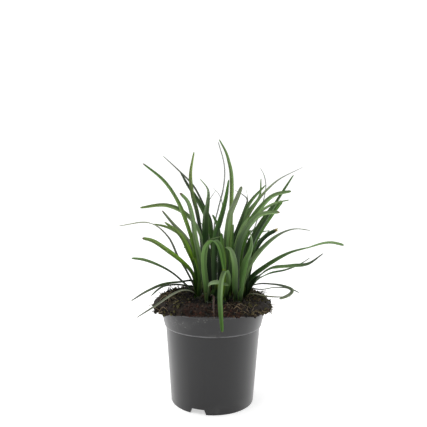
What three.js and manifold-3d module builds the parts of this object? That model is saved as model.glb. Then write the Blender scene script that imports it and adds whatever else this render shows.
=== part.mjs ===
// A lily turf in its nursery pot: the pot, the soil in it, and ten leafy shoots that stand in the soil.
// Millimetres, +Z up. The origin is on the floor, on the pot's axis, and the front of the plant is -Y.

import * as THREE from 'three';
import { mergeVertices } from 'three/addons/utils/BufferGeometryUtils.js';
import Module from 'manifold-3d';

const wasm = await Module();
wasm.setup();

// ---- Driving dimensions ----

const RIM_DIAMETER = 120;
const POT_HEIGHT = 109.4;
const WALL = 1.6;
const GAP = 0.3;

// The pot's outside, as shares of its rim radius and of its height.
const RIM_RADIUS = RIM_DIAMETER / 2;
const BASE_RADIUS = RIM_RADIUS * 0.773;
const STEP_RADIUS = RIM_RADIUS * 0.881;
const COLLAR_RADIUS = RIM_RADIUS * 0.905;
const STEP_HEIGHT = POT_HEIGHT * 0.787;
const STEP_RISE = 1;
const RIM_BAND = 2;
const RIM_ROUNDING = 0.5;
const POT_SIDES = 56;

// Under the pot: a foot ring with three notches, a raised floor, drain holes and a flat centre pad.
const FLOOR_UNDERSIDE = 4.5;
const FLOOR_TOP = FLOOR_UNDERSIDE + WALL;
const DRAFT = 0.8;
const FOOT_RING_WIDTH = 3.2;
const CENTRE_PAD_RADIUS = 12;
const NOTCH_COUNT = 3;
const NOTCH_HEIGHT = 5.6;
const NOTCH_FLOOR_WIDTH = 19;
const NOTCH_TOP_WIDTH = 14;
const NOTCH_FIRST_BEARING = -109;
const DRAIN_COUNT = 6;
const DRAIN_RADIUS = 3.5;
const DRAIN_CIRCLE = RIM_RADIUS * 0.5;
const DRAIN_SIDES = 10;

// The soil: a filled plug, a low mound and a ragged fringe that laps over the rim, least at the front.
const SOIL_LEVEL = POT_HEIGHT + 4.5;
const MOUND_RADIUS = RIM_RADIUS * 0.85;
const MOUND_HEIGHT = 4.5;
const MOUND_SPREAD = 16;
const MOUND_FRONT = 0.7;
const EDGE_FALL = 3.5;
const FALL_FROM = RIM_RADIUS * 0.88;
const FRINGE_THICKNESS = 0.8;
const FRINGE_SIDE = 6;
const FRINGE_LEAN = 0.22;
const FRINGE_DROP_FRONT = 0.5;
const FRINGE_DROP_SIDE = 6.5;
const SOIL_SIDES = 44;
const SOIL_RINGS = 8;
const LUMP_HEIGHT = 1.3;

// The crowns that the leaves grow from, and the plain holes they stand in.
const CROWN_RADIUS = 5.4;
const CROWN_TOP_RADIUS = 4;
const CROWN_DEPTH = 17;
const CROWN_RISE = 3.5;
const CROWN_SIDES = 8;
const HOLE_RADIUS = CROWN_RADIUS + 0.5;
const HOLE_SIDES = 12;

// The leaf blade: a shallow channel with a keel, widest before its middle.
const LEAF_THICKNESS = 1.2;
const CHANNEL_DEPTH = 0.17;
const LEAF_ROOT_DEPTH = 8;
const LEAF_ROOT_OFFSET = 2;
const LEAF_NECK_OFFSET = 3.2;
const LEAF_NECK_RISE = 3.5;
const STATION_SPACING = 12;
const ROOT_WIDTH = 0.85;
const TIP_THICKNESS = 0.6;
const FULL_WIDTH_FROM = 0.3;
const TAPER_FROM = 0.6;
const TAPER_POWER = 2.3;

// How wide a blade stays at its tip, as a share of its full width.
const POINTED = 0.3;
const BLUNT = 0.55;
const CUT = 0.78;

// The leaves at the back, from least to most: how far they reach, how high they arch and how wide they are.
const BACK_LEAF_REACH = [38, 66];
const BACK_LEAF_CREST = [52, 88];
const BACK_LEAF_TIP = [0.7, 1];
const BACK_LEAF_WIDTH = [4, 5.5];
const BACK_LEAF_TURNS = [-15, 0, 15];
const BACK_LEAF_SWAY = 8;

// ---- Materials ----

const potPlastic = new THREE.MeshStandardMaterial({ color: 0x3e4042, roughness: 0.45, metalness: 0 });
const pottingSoil = new THREE.MeshStandardMaterial({ color: 0x3a2a1f, roughness: 0.95, metalness: 0 });
const leafGreen = new THREE.MeshStandardMaterial({ color: 0x4a7836, roughness: 0.5, metalness: 0 });

// ---- Solids ----

/** Turns a closed geometry into a solid that can be joined and cut. */
function toSolid(geometry) {
  const bare = geometry.index ? geometry.toNonIndexed() : geometry.clone();
  bare.deleteAttribute('normal');
  bare.deleteAttribute('uv');
  const merged = mergeVertices(bare, 1e-3);
  return new wasm.Manifold(new wasm.Mesh({
    numProp: 3,
    vertProperties: new Float32Array(merged.attributes.position.array),
    triVerts: new Uint32Array(merged.index.array),
  }));
}

/** Turns the outer body of a solid into a geometry, so that a pocket sealed inside it is filled. */
function toGeometry(solid) {
  const [outer] = solid.decompose().sort((a, b) => b.volume() - a.volume());
  const mesh = outer.getMesh();
  const geometry = new THREE.BufferGeometry();
  geometry.setAttribute('position', new THREE.BufferAttribute(mesh.vertProperties, 3));
  geometry.setIndex(new THREE.BufferAttribute(mesh.triVerts, 1));
  geometry.computeVertexNormals();
  return geometry;
}

/** A shape turned about the pot's axis, from [radius, height] pairs. */
function turned(profile, sides) {
  const points = profile.map(([radius, height]) => new THREE.Vector2(radius, height));
  const geometry = new THREE.LatheGeometry(points, sides);
  geometry.rotateX(Math.PI / 2);
  return geometry;
}

/** An upright round peg with its foot at the given height. */
function peg(radiusTop, radiusBottom, height, sides, x, y, foot) {
  const geometry = new THREE.CylinderGeometry(radiusTop, radiusBottom, height, sides);
  geometry.rotateX(Math.PI / 2);
  geometry.translate(x, y, foot + height / 2);
  return geometry;
}

// ---- Pot ----

/** The outer radius of the pot's wall below the step, at a height. */
function wallRadius(height) {
  return THREE.MathUtils.lerp(BASE_RADIUS, STEP_RADIUS, height / STEP_HEIGHT);
}

/** The outer radius of the collar above the step, at a height. */
function collarRadius(height) {
  const share = (height - STEP_HEIGHT) / (POT_HEIGHT - STEP_HEIGHT);
  return THREE.MathUtils.lerp(COLLAR_RADIUS, RIM_RADIUS, share);
}

/** The slot that lets water out under the foot ring, drawn across the ring and pushed through it. */
function footNotch(bearing) {
  const outline = new THREE.Shape();
  outline.moveTo(-NOTCH_FLOOR_WIDTH / 2, -1);
  outline.lineTo(NOTCH_FLOOR_WIDTH / 2, -1);
  outline.lineTo(NOTCH_TOP_WIDTH / 2, NOTCH_HEIGHT);
  outline.lineTo(-NOTCH_TOP_WIDTH / 2, NOTCH_HEIGHT);
  const slot = new THREE.ExtrudeGeometry(outline, { depth: BASE_RADIUS, bevelEnabled: false });
  slot.rotateX(Math.PI / 2);
  slot.rotateZ(Math.PI / 2);
  slot.translate(BASE_RADIUS - 2 * FOOT_RING_WIDTH, 0, 0);
  slot.rotateZ(THREE.MathUtils.degToRad(bearing));
  return toSolid(slot);
}

function makePot() {
  const footInside = BASE_RADIUS - FOOT_RING_WIDTH;
  const stepFoot = STEP_HEIGHT - STEP_RISE;
  const innerStepFoot = stepFoot - STEP_RISE;
  let pot = toSolid(turned([
    [0, 0],
    [CENTRE_PAD_RADIUS, 0],
    [CENTRE_PAD_RADIUS + DRAFT, FLOOR_UNDERSIDE],
    [footInside - DRAFT, FLOOR_UNDERSIDE],
    [footInside, 0],
    [BASE_RADIUS, 0],
    [wallRadius(stepFoot), stepFoot],
    [COLLAR_RADIUS, STEP_HEIGHT],
    [collarRadius(POT_HEIGHT - RIM_BAND - STEP_RISE), POT_HEIGHT - RIM_BAND - STEP_RISE],
    [RIM_RADIUS, POT_HEIGHT - RIM_BAND],
    [RIM_RADIUS - RIM_ROUNDING, POT_HEIGHT],
    [RIM_RADIUS - WALL, POT_HEIGHT],
    [COLLAR_RADIUS - WALL, STEP_HEIGHT],
    [wallRadius(innerStepFoot) - WALL, innerStepFoot],
    [wallRadius(FLOOR_TOP) - WALL, FLOOR_TOP],
    [0, FLOOR_TOP],
  ], POT_SIDES));
  for (let i = 0; i < NOTCH_COUNT; i += 1) {
    pot = pot.subtract(footNotch(NOTCH_FIRST_BEARING + (360 / NOTCH_COUNT) * i));
  }
  for (let i = 0; i < DRAIN_COUNT; i += 1) {
    const bearing = (2 * Math.PI * i) / DRAIN_COUNT;
    const x = DRAIN_CIRCLE * Math.cos(bearing);
    const y = DRAIN_CIRCLE * Math.sin(bearing);
    const drill = peg(DRAIN_RADIUS, DRAIN_RADIUS, 2 * FLOOR_TOP, DRAIN_SIDES, x, y, 0);
    pot = pot.subtract(toSolid(drill));
  }
  const mesh = new THREE.Mesh(toGeometry(pot), potPlastic);
  mesh.name = 'pot';
  return mesh;
}

// ---- Soil ----

/** The crumbly relief of the soil, from waves that run across each other. */
function lumps(x, y) {
  const coarse = Math.sin(x * 0.31 + 1.3) * Math.sin(y * 0.27 - 0.4);
  const fine = Math.sin(x * 0.71 - y * 0.43) * Math.cos(y * 0.83 + x * 0.22 + 2);
  return LUMP_HEIGHT * (0.55 * coarse + 0.45 * fine);
}

/** The height of the soil's top at a place, before its lumps: a raised ring, lowest at front and back. */
function soilHeight(x, y) {
  const radius = Math.hypot(x, y);
  const sideways = radius > 0 ? (x / radius) ** 2 : 0;
  const ring = Math.exp(-(((radius - MOUND_RADIUS) / MOUND_SPREAD) ** 2));
  const mound = MOUND_HEIGHT * ring * THREE.MathUtils.lerp(MOUND_FRONT, 1, sideways);
  const fall = EDGE_FALL * THREE.MathUtils.smoothstep(radius, FALL_FROM, RIM_RADIUS + FRINGE_SIDE);
  return SOIL_LEVEL + mound - fall;
}

/** How far the fringe laps over the rim at a bearing: from 0 at the front to about 1 at the two sides. */
function lap(bearing) {
  const ragged = 0.07 * Math.sin(bearing * 7 + 1) + 0.06 * Math.sin(bearing * 13);
  return Math.cos(bearing) ** 2 * (1 + ragged);
}

/** The soil's outline in the pot, over the rim and back to the middle, as [radius, height] pairs. */
function soilProfile(fringeRoot, underRim) {
  const inset = WALL + GAP;
  const stepFoot = STEP_HEIGHT - 2 * STEP_RISE;
  const fringeFoot = underRim - FRINGE_DROP_FRONT;
  const edge = fringeRoot + FRINGE_THICKNESS;
  const top = [];
  for (let ring = SOIL_RINGS; ring > 0; ring -= 1) {
    const radius = RIM_RADIUS * 0.97 * (ring / SOIL_RINGS) ** 0.85;
    top.push([radius, SOIL_LEVEL]);
  }
  return [
    [0, FLOOR_TOP + GAP],
    [wallRadius(FLOOR_TOP) - inset, FLOOR_TOP + GAP],
    [wallRadius(stepFoot) - inset, stepFoot],
    [COLLAR_RADIUS - inset, STEP_HEIGHT + STEP_RISE],
    [RIM_RADIUS - inset, underRim],
    [fringeRoot, underRim],
    [fringeRoot + FRINGE_THICKNESS / 2, fringeFoot],
    [edge, fringeFoot],
    [edge + GAP, SOIL_LEVEL],
    ...top,
    [0, SOIL_LEVEL],
  ];
}

function makeSoil(crowns) {
  const underRim = POT_HEIGHT + GAP;
  const fringeRoot = RIM_RADIUS + GAP;
  const geometry = turned(soilProfile(fringeRoot, underRim), SOIL_SIDES);
  const position = geometry.attributes.position;
  for (let i = 0; i < position.count; i += 1) {
    const x = position.getX(i);
    const y = position.getY(i);
    const z = position.getZ(i);
    const radius = Math.hypot(x, y);
    if (radius > fringeRoot + 0.1) {
      // Pulls the fringe out and down over the rim, a little further on the left.
      const share = lap(Math.atan2(y, x));
      const reach = FRINGE_SIDE * (1 - (FRINGE_LEAN * x) / radius);
      const outwards = radius < fringeRoot + 0.6 * FRINGE_THICKNESS ? 0.4 : 1;
      const scale = (radius + outwards * reach * share) / radius;
      const hem = z - (FRINGE_DROP_SIDE - FRINGE_DROP_FRONT) * share;
      const brow = soilHeight(x * scale, y * scale) - (FRINGE_DROP_SIDE / 4) * share;
      position.setXYZ(i, x * scale, y * scale, z < underRim ? hem : brow);
    } else if (z > underRim + 1) {
      position.setZ(i, soilHeight(x, y) + lumps(x, y));
    }
  }
  let soil = toSolid(geometry);
  const holeFoot = SOIL_LEVEL - CROWN_DEPTH - GAP;
  for (const [x, y] of crowns) {
    const hole = peg(HOLE_RADIUS, HOLE_RADIUS, 2 * CROWN_DEPTH, HOLE_SIDES, x, y, holeFoot);
    soil = soil.subtract(toSolid(hole));
  }
  const mesh = new THREE.Mesh(toGeometry(soil), pottingSoil);
  mesh.name = 'soil';
  return mesh;
}

// ---- Leaves ----

/** The blade's width at a share of its length, as a part of its full width. end is its width at its tip. */
function widthShare(share, end) {
  const opening = THREE.MathUtils.smoothstep(share, 0, FULL_WIDTH_FROM);
  const closing = Math.max(0, (share - TAPER_FROM) / (1 - TAPER_FROM));
  const grown = THREE.MathUtils.lerp(ROOT_WIDTH, 1, opening);
  return grown * THREE.MathUtils.lerp(1, end, closing ** TAPER_POWER);
}

/** The angle at a share of a blade's length, from the angles at its root, its middle and its tip. */
function turnAt([root, middle, tip], share) {
  const near = THREE.MathUtils.lerp(root, middle, 2 * share);
  const far = THREE.MathUtils.lerp(middle, tip, 2 * share - 1);
  return share < 0.5 ? near : far;
}

/**
 * One blade. Its midrib rises from the crown through a neck and then passes through the route's points.
 * turns are the angles by which the blade is rolled about its midrib from lying flat.
 */
function leafSolid([crownX, crownY], { width, end, turns, route }) {
  const points = route.map(([x, y, z]) => new THREE.Vector3(x, y, z));
  const away = new THREE.Vector2(points[0].x - crownX, points[0].y - crownY).normalize();
  const standing = (offset, z) => new THREE.Vector3(crownX + away.x * offset, crownY + away.y * offset, z);
  const root = standing(LEAF_ROOT_OFFSET, SOIL_LEVEL - LEAF_ROOT_DEPTH);
  const neck = standing(LEAF_NECK_OFFSET, SOIL_LEVEL + LEAF_NECK_RISE);
  const midrib = new THREE.CatmullRomCurve3([root, neck, ...points], false, 'centripetal');
  const spans = Math.max(6, Math.round(midrib.getLength() / STATION_SPACING));
  const tip = points.at(-1);
  const side = new THREE.Vector3(root.y - tip.y, tip.x - root.x, 0).normalize();
  const corners = [];
  for (let i = 0; i <= spans; i += 1) {
    const share = i / spans;
    const centre = midrib.getPointAt(share);
    const along = midrib.getTangentAt(share);
    const across = side.clone().addScaledVector(along, -side.dot(along)).normalize();
    across.applyAxisAngle(along, THREE.MathUtils.degToRad(turnAt(turns, share)));
    const up = new THREE.Vector3().crossVectors(along, across);
    const half = (width * widthShare(share, end)) / 2;
    const thick = LEAF_THICKNESS * THREE.MathUtils.lerp(1, TIP_THICKNESS, share);
    const lift = 2 * half * CHANNEL_DEPTH;
    for (const [sideways, upwards] of [[-half, lift], [0, -thick / 2], [half, lift], [0, thick / 2]]) {
      corners.push(centre.clone().addScaledVector(across, sideways).addScaledVector(up, upwards));
    }
  }
  return toSolid(skin(corners, 4));
}

/** Closes rings of corners, one ring after another along a blade, into a body with two flat ends. */
function skin(corners, ringSize) {
  const rings = corners.length / ringSize;
  const index = [];
  for (let ring = 0; ring < rings - 1; ring += 1) {
    for (let i = 0; i < ringSize; i += 1) {
      const a = ring * ringSize + i;
      const b = ring * ringSize + ((i + 1) % ringSize);
      index.push(a, b, a + ringSize, b, b + ringSize, a + ringSize);
    }
  }
  const last = (rings - 1) * ringSize;
  for (let i = 1; i < ringSize - 1; i += 1) {
    index.push(0, i + 1, i);
    index.push(last, last + i, last + i + 1);
  }
  const geometry = new THREE.BufferGeometry().setFromPoints(corners);
  geometry.setIndex(index);
  return geometry;
}

/** One shoot: a crown in its hole, with all its blades grown out of it. */
function makeShoot({ name, crown, leaves, back }) {
  const [x, y] = crown;
  const foot = SOIL_LEVEL - CROWN_DEPTH;
  let shoot = toSolid(peg(CROWN_TOP_RADIUS, CROWN_RADIUS, CROWN_DEPTH + CROWN_RISE, CROWN_SIDES, x, y, foot));
  for (const blade of [...leaves, ...backLeaves(crown, back)]) {
    shoot = shoot.add(leafSolid(crown, blade));
  }
  const mesh = new THREE.Mesh(toGeometry(shoot), leafGreen);
  mesh.name = name;
  return mesh;
}

/** Describes one leaf: its width, its end, its turns, and the points that its midrib passes through. */
function leaf(width, end, turns, ...route) {
  return { width, end, turns, route };
}

/** A small generator of repeatable numbers from 0 to 1. */
function seededRandom(seed) {
  let state = seed;
  return () => {
    state = (state * 1664525 + 1013904223) % 4294967296;
    return state / 4294967296;
  };
}

/** Leaves that arch away behind a crown, one at each bearing in degrees from +X. */
function backLeaves([crownX, crownY], { seed, bearings }) {
  const random = seededRandom(seed);
  const draw = ([least, most]) => THREE.MathUtils.lerp(least, most, random());
  return bearings.map((degrees) => {
    const bearing = THREE.MathUtils.degToRad(degrees + BACK_LEAF_SWAY * (random() - 0.5));
    const reach = draw(BACK_LEAF_REACH);
    const crest = draw(BACK_LEAF_CREST);
    const tip = draw(BACK_LEAF_TIP);
    const width = draw(BACK_LEAF_WIDTH);
    const at = (share, rise) => [
      crownX + Math.cos(bearing) * reach * share,
      crownY + Math.sin(bearing) * reach * share,
      SOIL_LEVEL + crest * rise,
    ];
    return leaf(width, POINTED, BACK_LEAF_TURNS, at(0.2, 0.5), at(0.52, 0.93), at(1, tip));
  });
}

// The shoots, each with the leaves that show their own bend, and the bearings of those behind them.
const SHOOTS = [
  {
    name: 'shoot_west',
    crown: [-17, 3],
    leaves: [
      leaf(6, POINTED, [-80, -65, -60], [-22, 0, 167], [-30, -6, 197], [-41, -13, 225], [-55, -19, 246],
        [-76, -26, 264]),
      leaf(5.4, POINTED, [-30, -20, -35], [-23, 11, 165], [-33, 16, 181], [-46, 21, 194], [-61, 28, 211]),
      leaf(6, POINTED, [-80, -90, -75], [-20, 2, 146], [-27, -2, 166], [-37, -7, 186], [-54, -13, 201]),
      leaf(4.6, POINTED, [0, 5, 25], [-31, 18, 140], [-42, 26, 156], [-55, 36, 179], [-77, 48, 194],
        [-119, 62, 189]),
      leaf(5.6, BLUNT, [-70, -65, -75], [-24, -5, 143], [-33, -11, 155], [-51, -19, 171], [-66, -26, 182],
        [-76, -30, 185]),
      leaf(4.2, BLUNT, [-20, -22, -60], [-33, 2, 130], [-46, -1, 142], [-61, -3, 151], [-78, -6, 158],
        [-91, -8, 160]),
      leaf(2.6, POINTED, [-25, -30, -35], [-32, -13, 126], [-45, -24, 123], [-60, -33, 114],
        [-80, -44, 103]),
      leaf(4.5, POINTED, [60, 60, 50], [-15, -7, 141], [-18, -12, 156], [-21, -15, 163], [-23, -17, 160]),
    ],
    back: { seed: 1, bearings: [] },
  },
  {
    name: 'shoot_north_west',
    crown: [-9, 22],
    leaves: [
      leaf(6.4, POINTED, [-60, 5, 85], [-13, 13, 169], [-20, 3, 194], [-33, -5, 210], [-52, -14, 219],
        [-79, -25, 217]),
      leaf(3, POINTED, [-20, -20, -25], [-3, 38, 195], [-13, 47, 217], [-26, 58, 240], [-45, 67, 259],
        [-65, 74, 277]),
      leaf(5, POINTED, [-15, -25, -60], [-15, 23, 178], [-20, 25, 209], [-26, 27, 232], [-28, 29, 254],
        [-24, 30, 280]),
      leaf(5.2, POINTED, [50, 55, 65], [-23, 29, 162], [-31, 34, 175], [-45, 40, 184], [-58, 45, 190],
        [-74, 50, 193]),
      leaf(4.8, POINTED, [20, 45, 55], [-24, 20, 129], [-39, 18, 128], [-57, 15, 126], [-75, 11, 119],
        [-94, 8, 108]),
      leaf(4.2, POINTED, [20, 40, 40], [-33, 28, 122], [-48, 31, 122], [-62, 35, 118], [-75, 38, 107]),
    ],
    back: { seed: 3, bearings: [100, 118] },
  },
  {
    name: 'shoot_south_west',
    crown: [-4, -17],
    leaves: [
      leaf(6.4, BLUNT, [-80, -65, -60], [-15, -16, 159], [-21, -18, 187], [-24, -20, 208], [-29, -21, 224],
        [-37, -22, 233]),
      leaf(6, POINTED, [-15, -20, 10], [-10, -25, 153], [-9, -30, 171], [-4, -36, 184], [7, -42, 189]),
      leaf(6, BLUNT, [-15, -5, 20], [-10, -31, 159], [-8, -39, 177], [0, -47, 185], [6, -54, 180],
        [11, -62, 158]),
      leaf(4.8, POINTED, [20, 60, 70], [-4, -36, 137], [4, -43, 141], [16, -52, 140]),
      leaf(2.6, POINTED, [-40, -35, -40], [0, -44, 127], [0, -58, 121], [1, -70, 110]),
    ],
    back: { seed: 1, bearings: [] },
  },
  {
    name: 'shoot_centre',
    crown: [3, 3],
    leaves: [
      leaf(6, BLUNT, [-45, -45, 10], [-3, 20, 187], [-11, 30, 208], [-22, 39, 226], [-32, 46, 240],
        [-42, 52, 257]),
      leaf(6.4, POINTED, [-60, -55, -40], [2, 0, 183], [7, -1, 201], [11, -2, 216], [14, -3, 231],
        [16, -4, 248]),
      leaf(6, BLUNT, [0, 0, 0], [5, 4, 182], [4, 8, 194], [-2, 12, 208]),
      leaf(7.4, POINTED, [-40, -40, 35], [-9, 7, 179], [-10, 13, 205], [-8, 17, 222], [-8, 20, 236],
        [-17, 24, 249]),
    ],
    back: { seed: 1, bearings: [] },
  },
  {
    name: 'shoot_south',
    crown: [12, -13],
    leaves: [
      leaf(5.2, BLUNT, [35, 10, 0], [17, -27, 139], [13, -37, 152], [9, -46, 146], [7, -60, 129],
        [9, -78, 99]),
      leaf(6.2, BLUNT, [-10, -30, -50], [13, -15, 167], [14, -23, 190], [17, -32, 212], [22, -37, 225],
        [28, -42, 241]),
      leaf(5, BLUNT, [-20, -20, 0], [11, -18, 165], [9, -23, 178], [8, -27, 191]),
      leaf(6.2, BLUNT, [-50, -45, -40], [20, -17, 152], [25, -20, 174], [30, -23, 189], [39, -26, 202]),
    ],
    back: { seed: 1, bearings: [] },
  },
  {
    name: 'shoot_south_east',
    crown: [26, -17],
    leaves: [
      leaf(6.2, POINTED, [20, 25, 45], [23, -24, 133], [23, -31, 152], [21, -37, 166], [17, -41, 176],
        [12, -44, 178]),
      leaf(4.6, POINTED, [30, 30, 20], [26, -10, 150], [24, -12, 165], [22, -13, 174], [19, -15, 182]),
      leaf(6, POINTED, [75, 30, -15], [35, -14, 144], [45, -7, 161], [60, 1, 176], [77, 9, 187],
        [94, 15, 192], [112, 20, 190]),
      leaf(6, BLUNT, [80, 85, 50], [29, -11, 165], [38, -13, 199], [49, -15, 216], [64, -17, 231],
        [83, -18, 236]),
      leaf(6.6, BLUNT, [-55, -60, -50], [25, -25, 162], [38, -36, 202], [67, -48, 215]),
      leaf(7.8, POINTED, [-30, -30, 50], [31, -21, 143], [35, -24, 160], [40, -27, 172], [41, -29, 183],
        [38, -32, 195]),
    ],
    back: { seed: 1, bearings: [] },
  },
  {
    name: 'shoot_east',
    crown: [35, 0],
    leaves: [
      leaf(6, BLUNT, [80, 42, -58], [40, -7, 136], [59, -13, 154], [81, -19, 168], [102, -25, 176],
        [123, -31, 182], [137, -34, 180]),
      leaf(6, POINTED, [60, -55, -55], [51, 7, 137], [65, 11, 146], [90, 19, 148], [112, 25, 150],
        [130, 30, 162]),
      leaf(5, POINTED, [50, -40, -35], [50, 13, 132], [64, 22, 138], [85, 31, 141], [103, 41, 146],
        [118, 48, 154]),
      leaf(3, POINTED, [10, 10, 0], [45, -11, 122], [55, -16, 121], [69, -17, 120], [86, -16, 121]),
      leaf(5.2, POINTED, [-70, -70, -65], [40, 4, 158], [48, 6, 184], [62, 8, 208], [74, 10, 228],
        [90, 12, 254]),
      leaf(6, CUT, [55, 50, 55], [39, 12, 158], [48, 16, 179], [61, 21, 200], [79, 26, 224]),
      leaf(5.4, CUT, [70, 65, 70], [43, 17, 152], [51, 24, 171], [61, 29, 182], [74, 34, 189]),
      leaf(6, POINTED, [65, 60, 35], [38, 4, 125], [44, 7, 132], [54, 10, 139]),
      leaf(6.4, POINTED, [50, 50, 45], [36, 13, 150], [47, 24, 184], [54, 28, 195], [72, 36, 221]),
    ],
    back: { seed: 7, bearings: [60] },
  },
  {
    name: 'shoot_centre_east',
    crown: [19, 6],
    leaves: [
      leaf(4.8, POINTED, [-45, -50, -40], [18, 9, 172], [20, 17, 242], [19, 18, 257], [13, 20, 279],
        [5, 22, 294]),
      leaf(4.8, POINTED, [60, 55, 60], [24, 19, 167], [31, 23, 194], [41, 27, 220], [60, 30, 242]),
      leaf(5.4, POINTED, [35, 60, 30], [26, 4, 174], [35, 3, 198], [49, 1, 210], [66, 0, 221],
        [84, -1, 226]),
      leaf(6, POINTED, [40, 45, 30], [26, -2, 150], [29, -4, 165], [46, -7, 196]),
    ],
    back: { seed: 9, bearings: [86] },
  },
  {
    name: 'shoot_north',
    crown: [9, 26],
    leaves: [
      leaf(3.4, BLUNT, [65, 60, 50], [0, 41, 189], [5, 51, 214], [11, 61, 239], [12, 70, 265],
        [4, 78, 296]),
      leaf(3.2, POINTED, [65, 60, 50], [7, 36, 192], [10, 40, 216], [7, 42, 228], [-2, 44, 239]),
      leaf(2.6, POINTED, [65, 65, 70], [-8, 52, 189], [-9, 66, 209], [-6, 78, 222], [2, 90, 234]),
      leaf(4.2, POINTED, [30, 20, -50], [21, 33, 171], [29, 36, 191], [37, 40, 213], [40, 42, 225],
        [33, 44, 231], [24, 46, 236]),
    ],
    back: { seed: 11, bearings: [72, 96] },
  },
  {
    name: 'shoot_north_east',
    crown: [27, 23],
    leaves: [
      leaf(4.4, BLUNT, [10, 5, 55], [50, 16, 127], [65, 3, 130], [80, -11, 130], [86, -20, 128],
        [82, -26, 125], [70, -34, 122]),
      leaf(3.2, BLUNT, [-15, -18, -35], [42, 22, 121], [56, 21, 120], [73, 28, 121], [92, 35, 118],
        [104, 40, 112]),
      leaf(2.8, POINTED, [-40, -40, -40], [51, 58, 190], [61, 71, 217], [66, 80, 239], [64, 86, 254],
        [59, 90, 264]),
      leaf(4.2, POINTED, [25, 20, 10], [32, 30, 190], [42, 40, 211], [55, 48, 228], [57, 54, 250]),
      leaf(4.4, POINTED, [50, 30, -15], [36, 45, 191], [52, 54, 220], [65, 62, 235], [82, 71, 249],
        [113, 84, 265]),
      leaf(3.4, POINTED, [15, 10, 10], [45, 44, 154], [54, 51, 171], [69, 62, 185]),
      leaf(2.6, POINTED, [65, 65, 70], [38, 52, 190], [42, 66, 213], [42, 77, 227], [41, 86, 236]),
    ],
    back: { seed: 13, bearings: [52, 74, 94] },
  },
];

const liriope = new THREE.Group();
liriope.name = 'liriope_in_pot';
liriope.add(makePot());
liriope.add(makeSoil(SHOOTS.map((shoot) => shoot.crown)));
for (const shoot of SHOOTS) {
  liriope.add(makeShoot(shoot));
}

export default liriope;
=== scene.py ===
"""The finished look of a lily turf in its nursery pot: the pot, its potting soil and ten leafy shoots.

Metres, +Z up. The origin is on the floor, on the pot's axis, and the front of the plant is -Y. The leaves'
routes are written in millimetres, and are turned into metres where they are read.
"""

from __future__ import annotations

import itertools
import logging
import math
import random
from dataclasses import dataclass, field
from enum import Enum
from typing import Iterable, Sequence

import bpy
import numpy as np
from mathutils import Euler, Matrix, Vector, noise


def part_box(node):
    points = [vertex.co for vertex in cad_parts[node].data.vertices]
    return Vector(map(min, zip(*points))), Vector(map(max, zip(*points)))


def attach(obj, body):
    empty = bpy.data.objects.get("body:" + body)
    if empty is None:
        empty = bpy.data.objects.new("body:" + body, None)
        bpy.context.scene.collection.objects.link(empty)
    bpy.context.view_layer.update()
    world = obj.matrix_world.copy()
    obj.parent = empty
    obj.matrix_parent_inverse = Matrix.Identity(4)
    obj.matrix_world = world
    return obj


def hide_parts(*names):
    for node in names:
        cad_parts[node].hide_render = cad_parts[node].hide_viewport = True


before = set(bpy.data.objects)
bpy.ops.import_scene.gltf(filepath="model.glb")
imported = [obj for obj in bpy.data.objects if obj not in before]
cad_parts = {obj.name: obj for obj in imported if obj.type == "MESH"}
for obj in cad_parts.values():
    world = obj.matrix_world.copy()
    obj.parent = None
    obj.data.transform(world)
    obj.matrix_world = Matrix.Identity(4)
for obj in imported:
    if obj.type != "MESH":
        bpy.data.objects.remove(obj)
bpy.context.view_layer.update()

log = logging.getLogger("lily_turf")

MM = 0.001
BODY = "root"
TINT = "tint"
NUMBERS_PER_SHOOT = 100

Range = tuple[float, float]
Triple = tuple[float, float, float]
Point = tuple[float, float, float]
Colour = tuple[float, float, float]


def lerp(start: float, end: float, share: float) -> float:
    """Blends two numbers, or two arrays, by a share from 0 to 1."""
    return start + (end - start) * share


def smooth_step(value: np.ndarray | float, low: float, high: float) -> np.ndarray:
    """Rises smoothly from 0 at low to 1 at high.

    Args:
        value: The number or numbers to grade.
        low: Where the rise starts.
        high: Where the rise ends.

    Returns:
        The graded numbers, from 0 to 1.
    """
    share = np.clip((np.asarray(value, float) - low) / (high - low), 0, 1)
    return share * share * (3 - 2 * share)


# ---- Shader maths ----


class Socket:
    """A node's output, on which plain sums add Math nodes."""

    def __init__(self, shader: Shader, link: bpy.types.NodeSocket | None) -> None:
        """Keeps the shader that the output belongs to, and the output."""
        self.shader = shader
        self.link = link

    def maths(self, operation: str, first: Value, second: Value = 0.0) -> Socket:
        """Adds one Math node and returns its result."""
        return self.shader.node("ShaderNodeMath", {"operation": operation}, {0: first, 1: second})

    def __add__(self, other: Value) -> Socket:
        """Adds a value to this one."""
        return self.maths("ADD", self, other)

    def __radd__(self, other: Value) -> Socket:
        """Adds this value to another."""
        return self.maths("ADD", other, self)

    def __sub__(self, other: Value) -> Socket:
        """Takes a value from this one."""
        return self.maths("SUBTRACT", self, other)

    def __rsub__(self, other: Value) -> Socket:
        """Takes this value from another."""
        return self.maths("SUBTRACT", other, self)

    def __mul__(self, other: Value) -> Socket:
        """Multiplies this value by another."""
        return self.maths("MULTIPLY", self, other)

    def __rmul__(self, other: Value) -> Socket:
        """Multiplies another value by this one."""
        return self.maths("MULTIPLY", other, self)

    def size(self) -> Socket:
        """The value without its sign."""
        return self.maths("ABSOLUTE", self)

    def cosine(self) -> Socket:
        """The cosine of the value, in radians."""
        return self.maths("COSINE", self)

    def step(self, low: float, high: float) -> Socket:
        """Rises smoothly from 0 where the value is low to 1 where it is high.

        Args:
            low: Where the rise starts; above high, the step falls instead.
            high: Where the rise ends.

        Returns:
            The graded value.
        """
        if low > high:
            return 1 - self.step(high, low)
        settings = {"interpolation_type": "SMOOTHSTEP"}
        return self.shader.node("ShaderNodeMapRange", settings, {0: self, 1: low, 2: high})


Value = Socket | float | Sequence[float]


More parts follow.
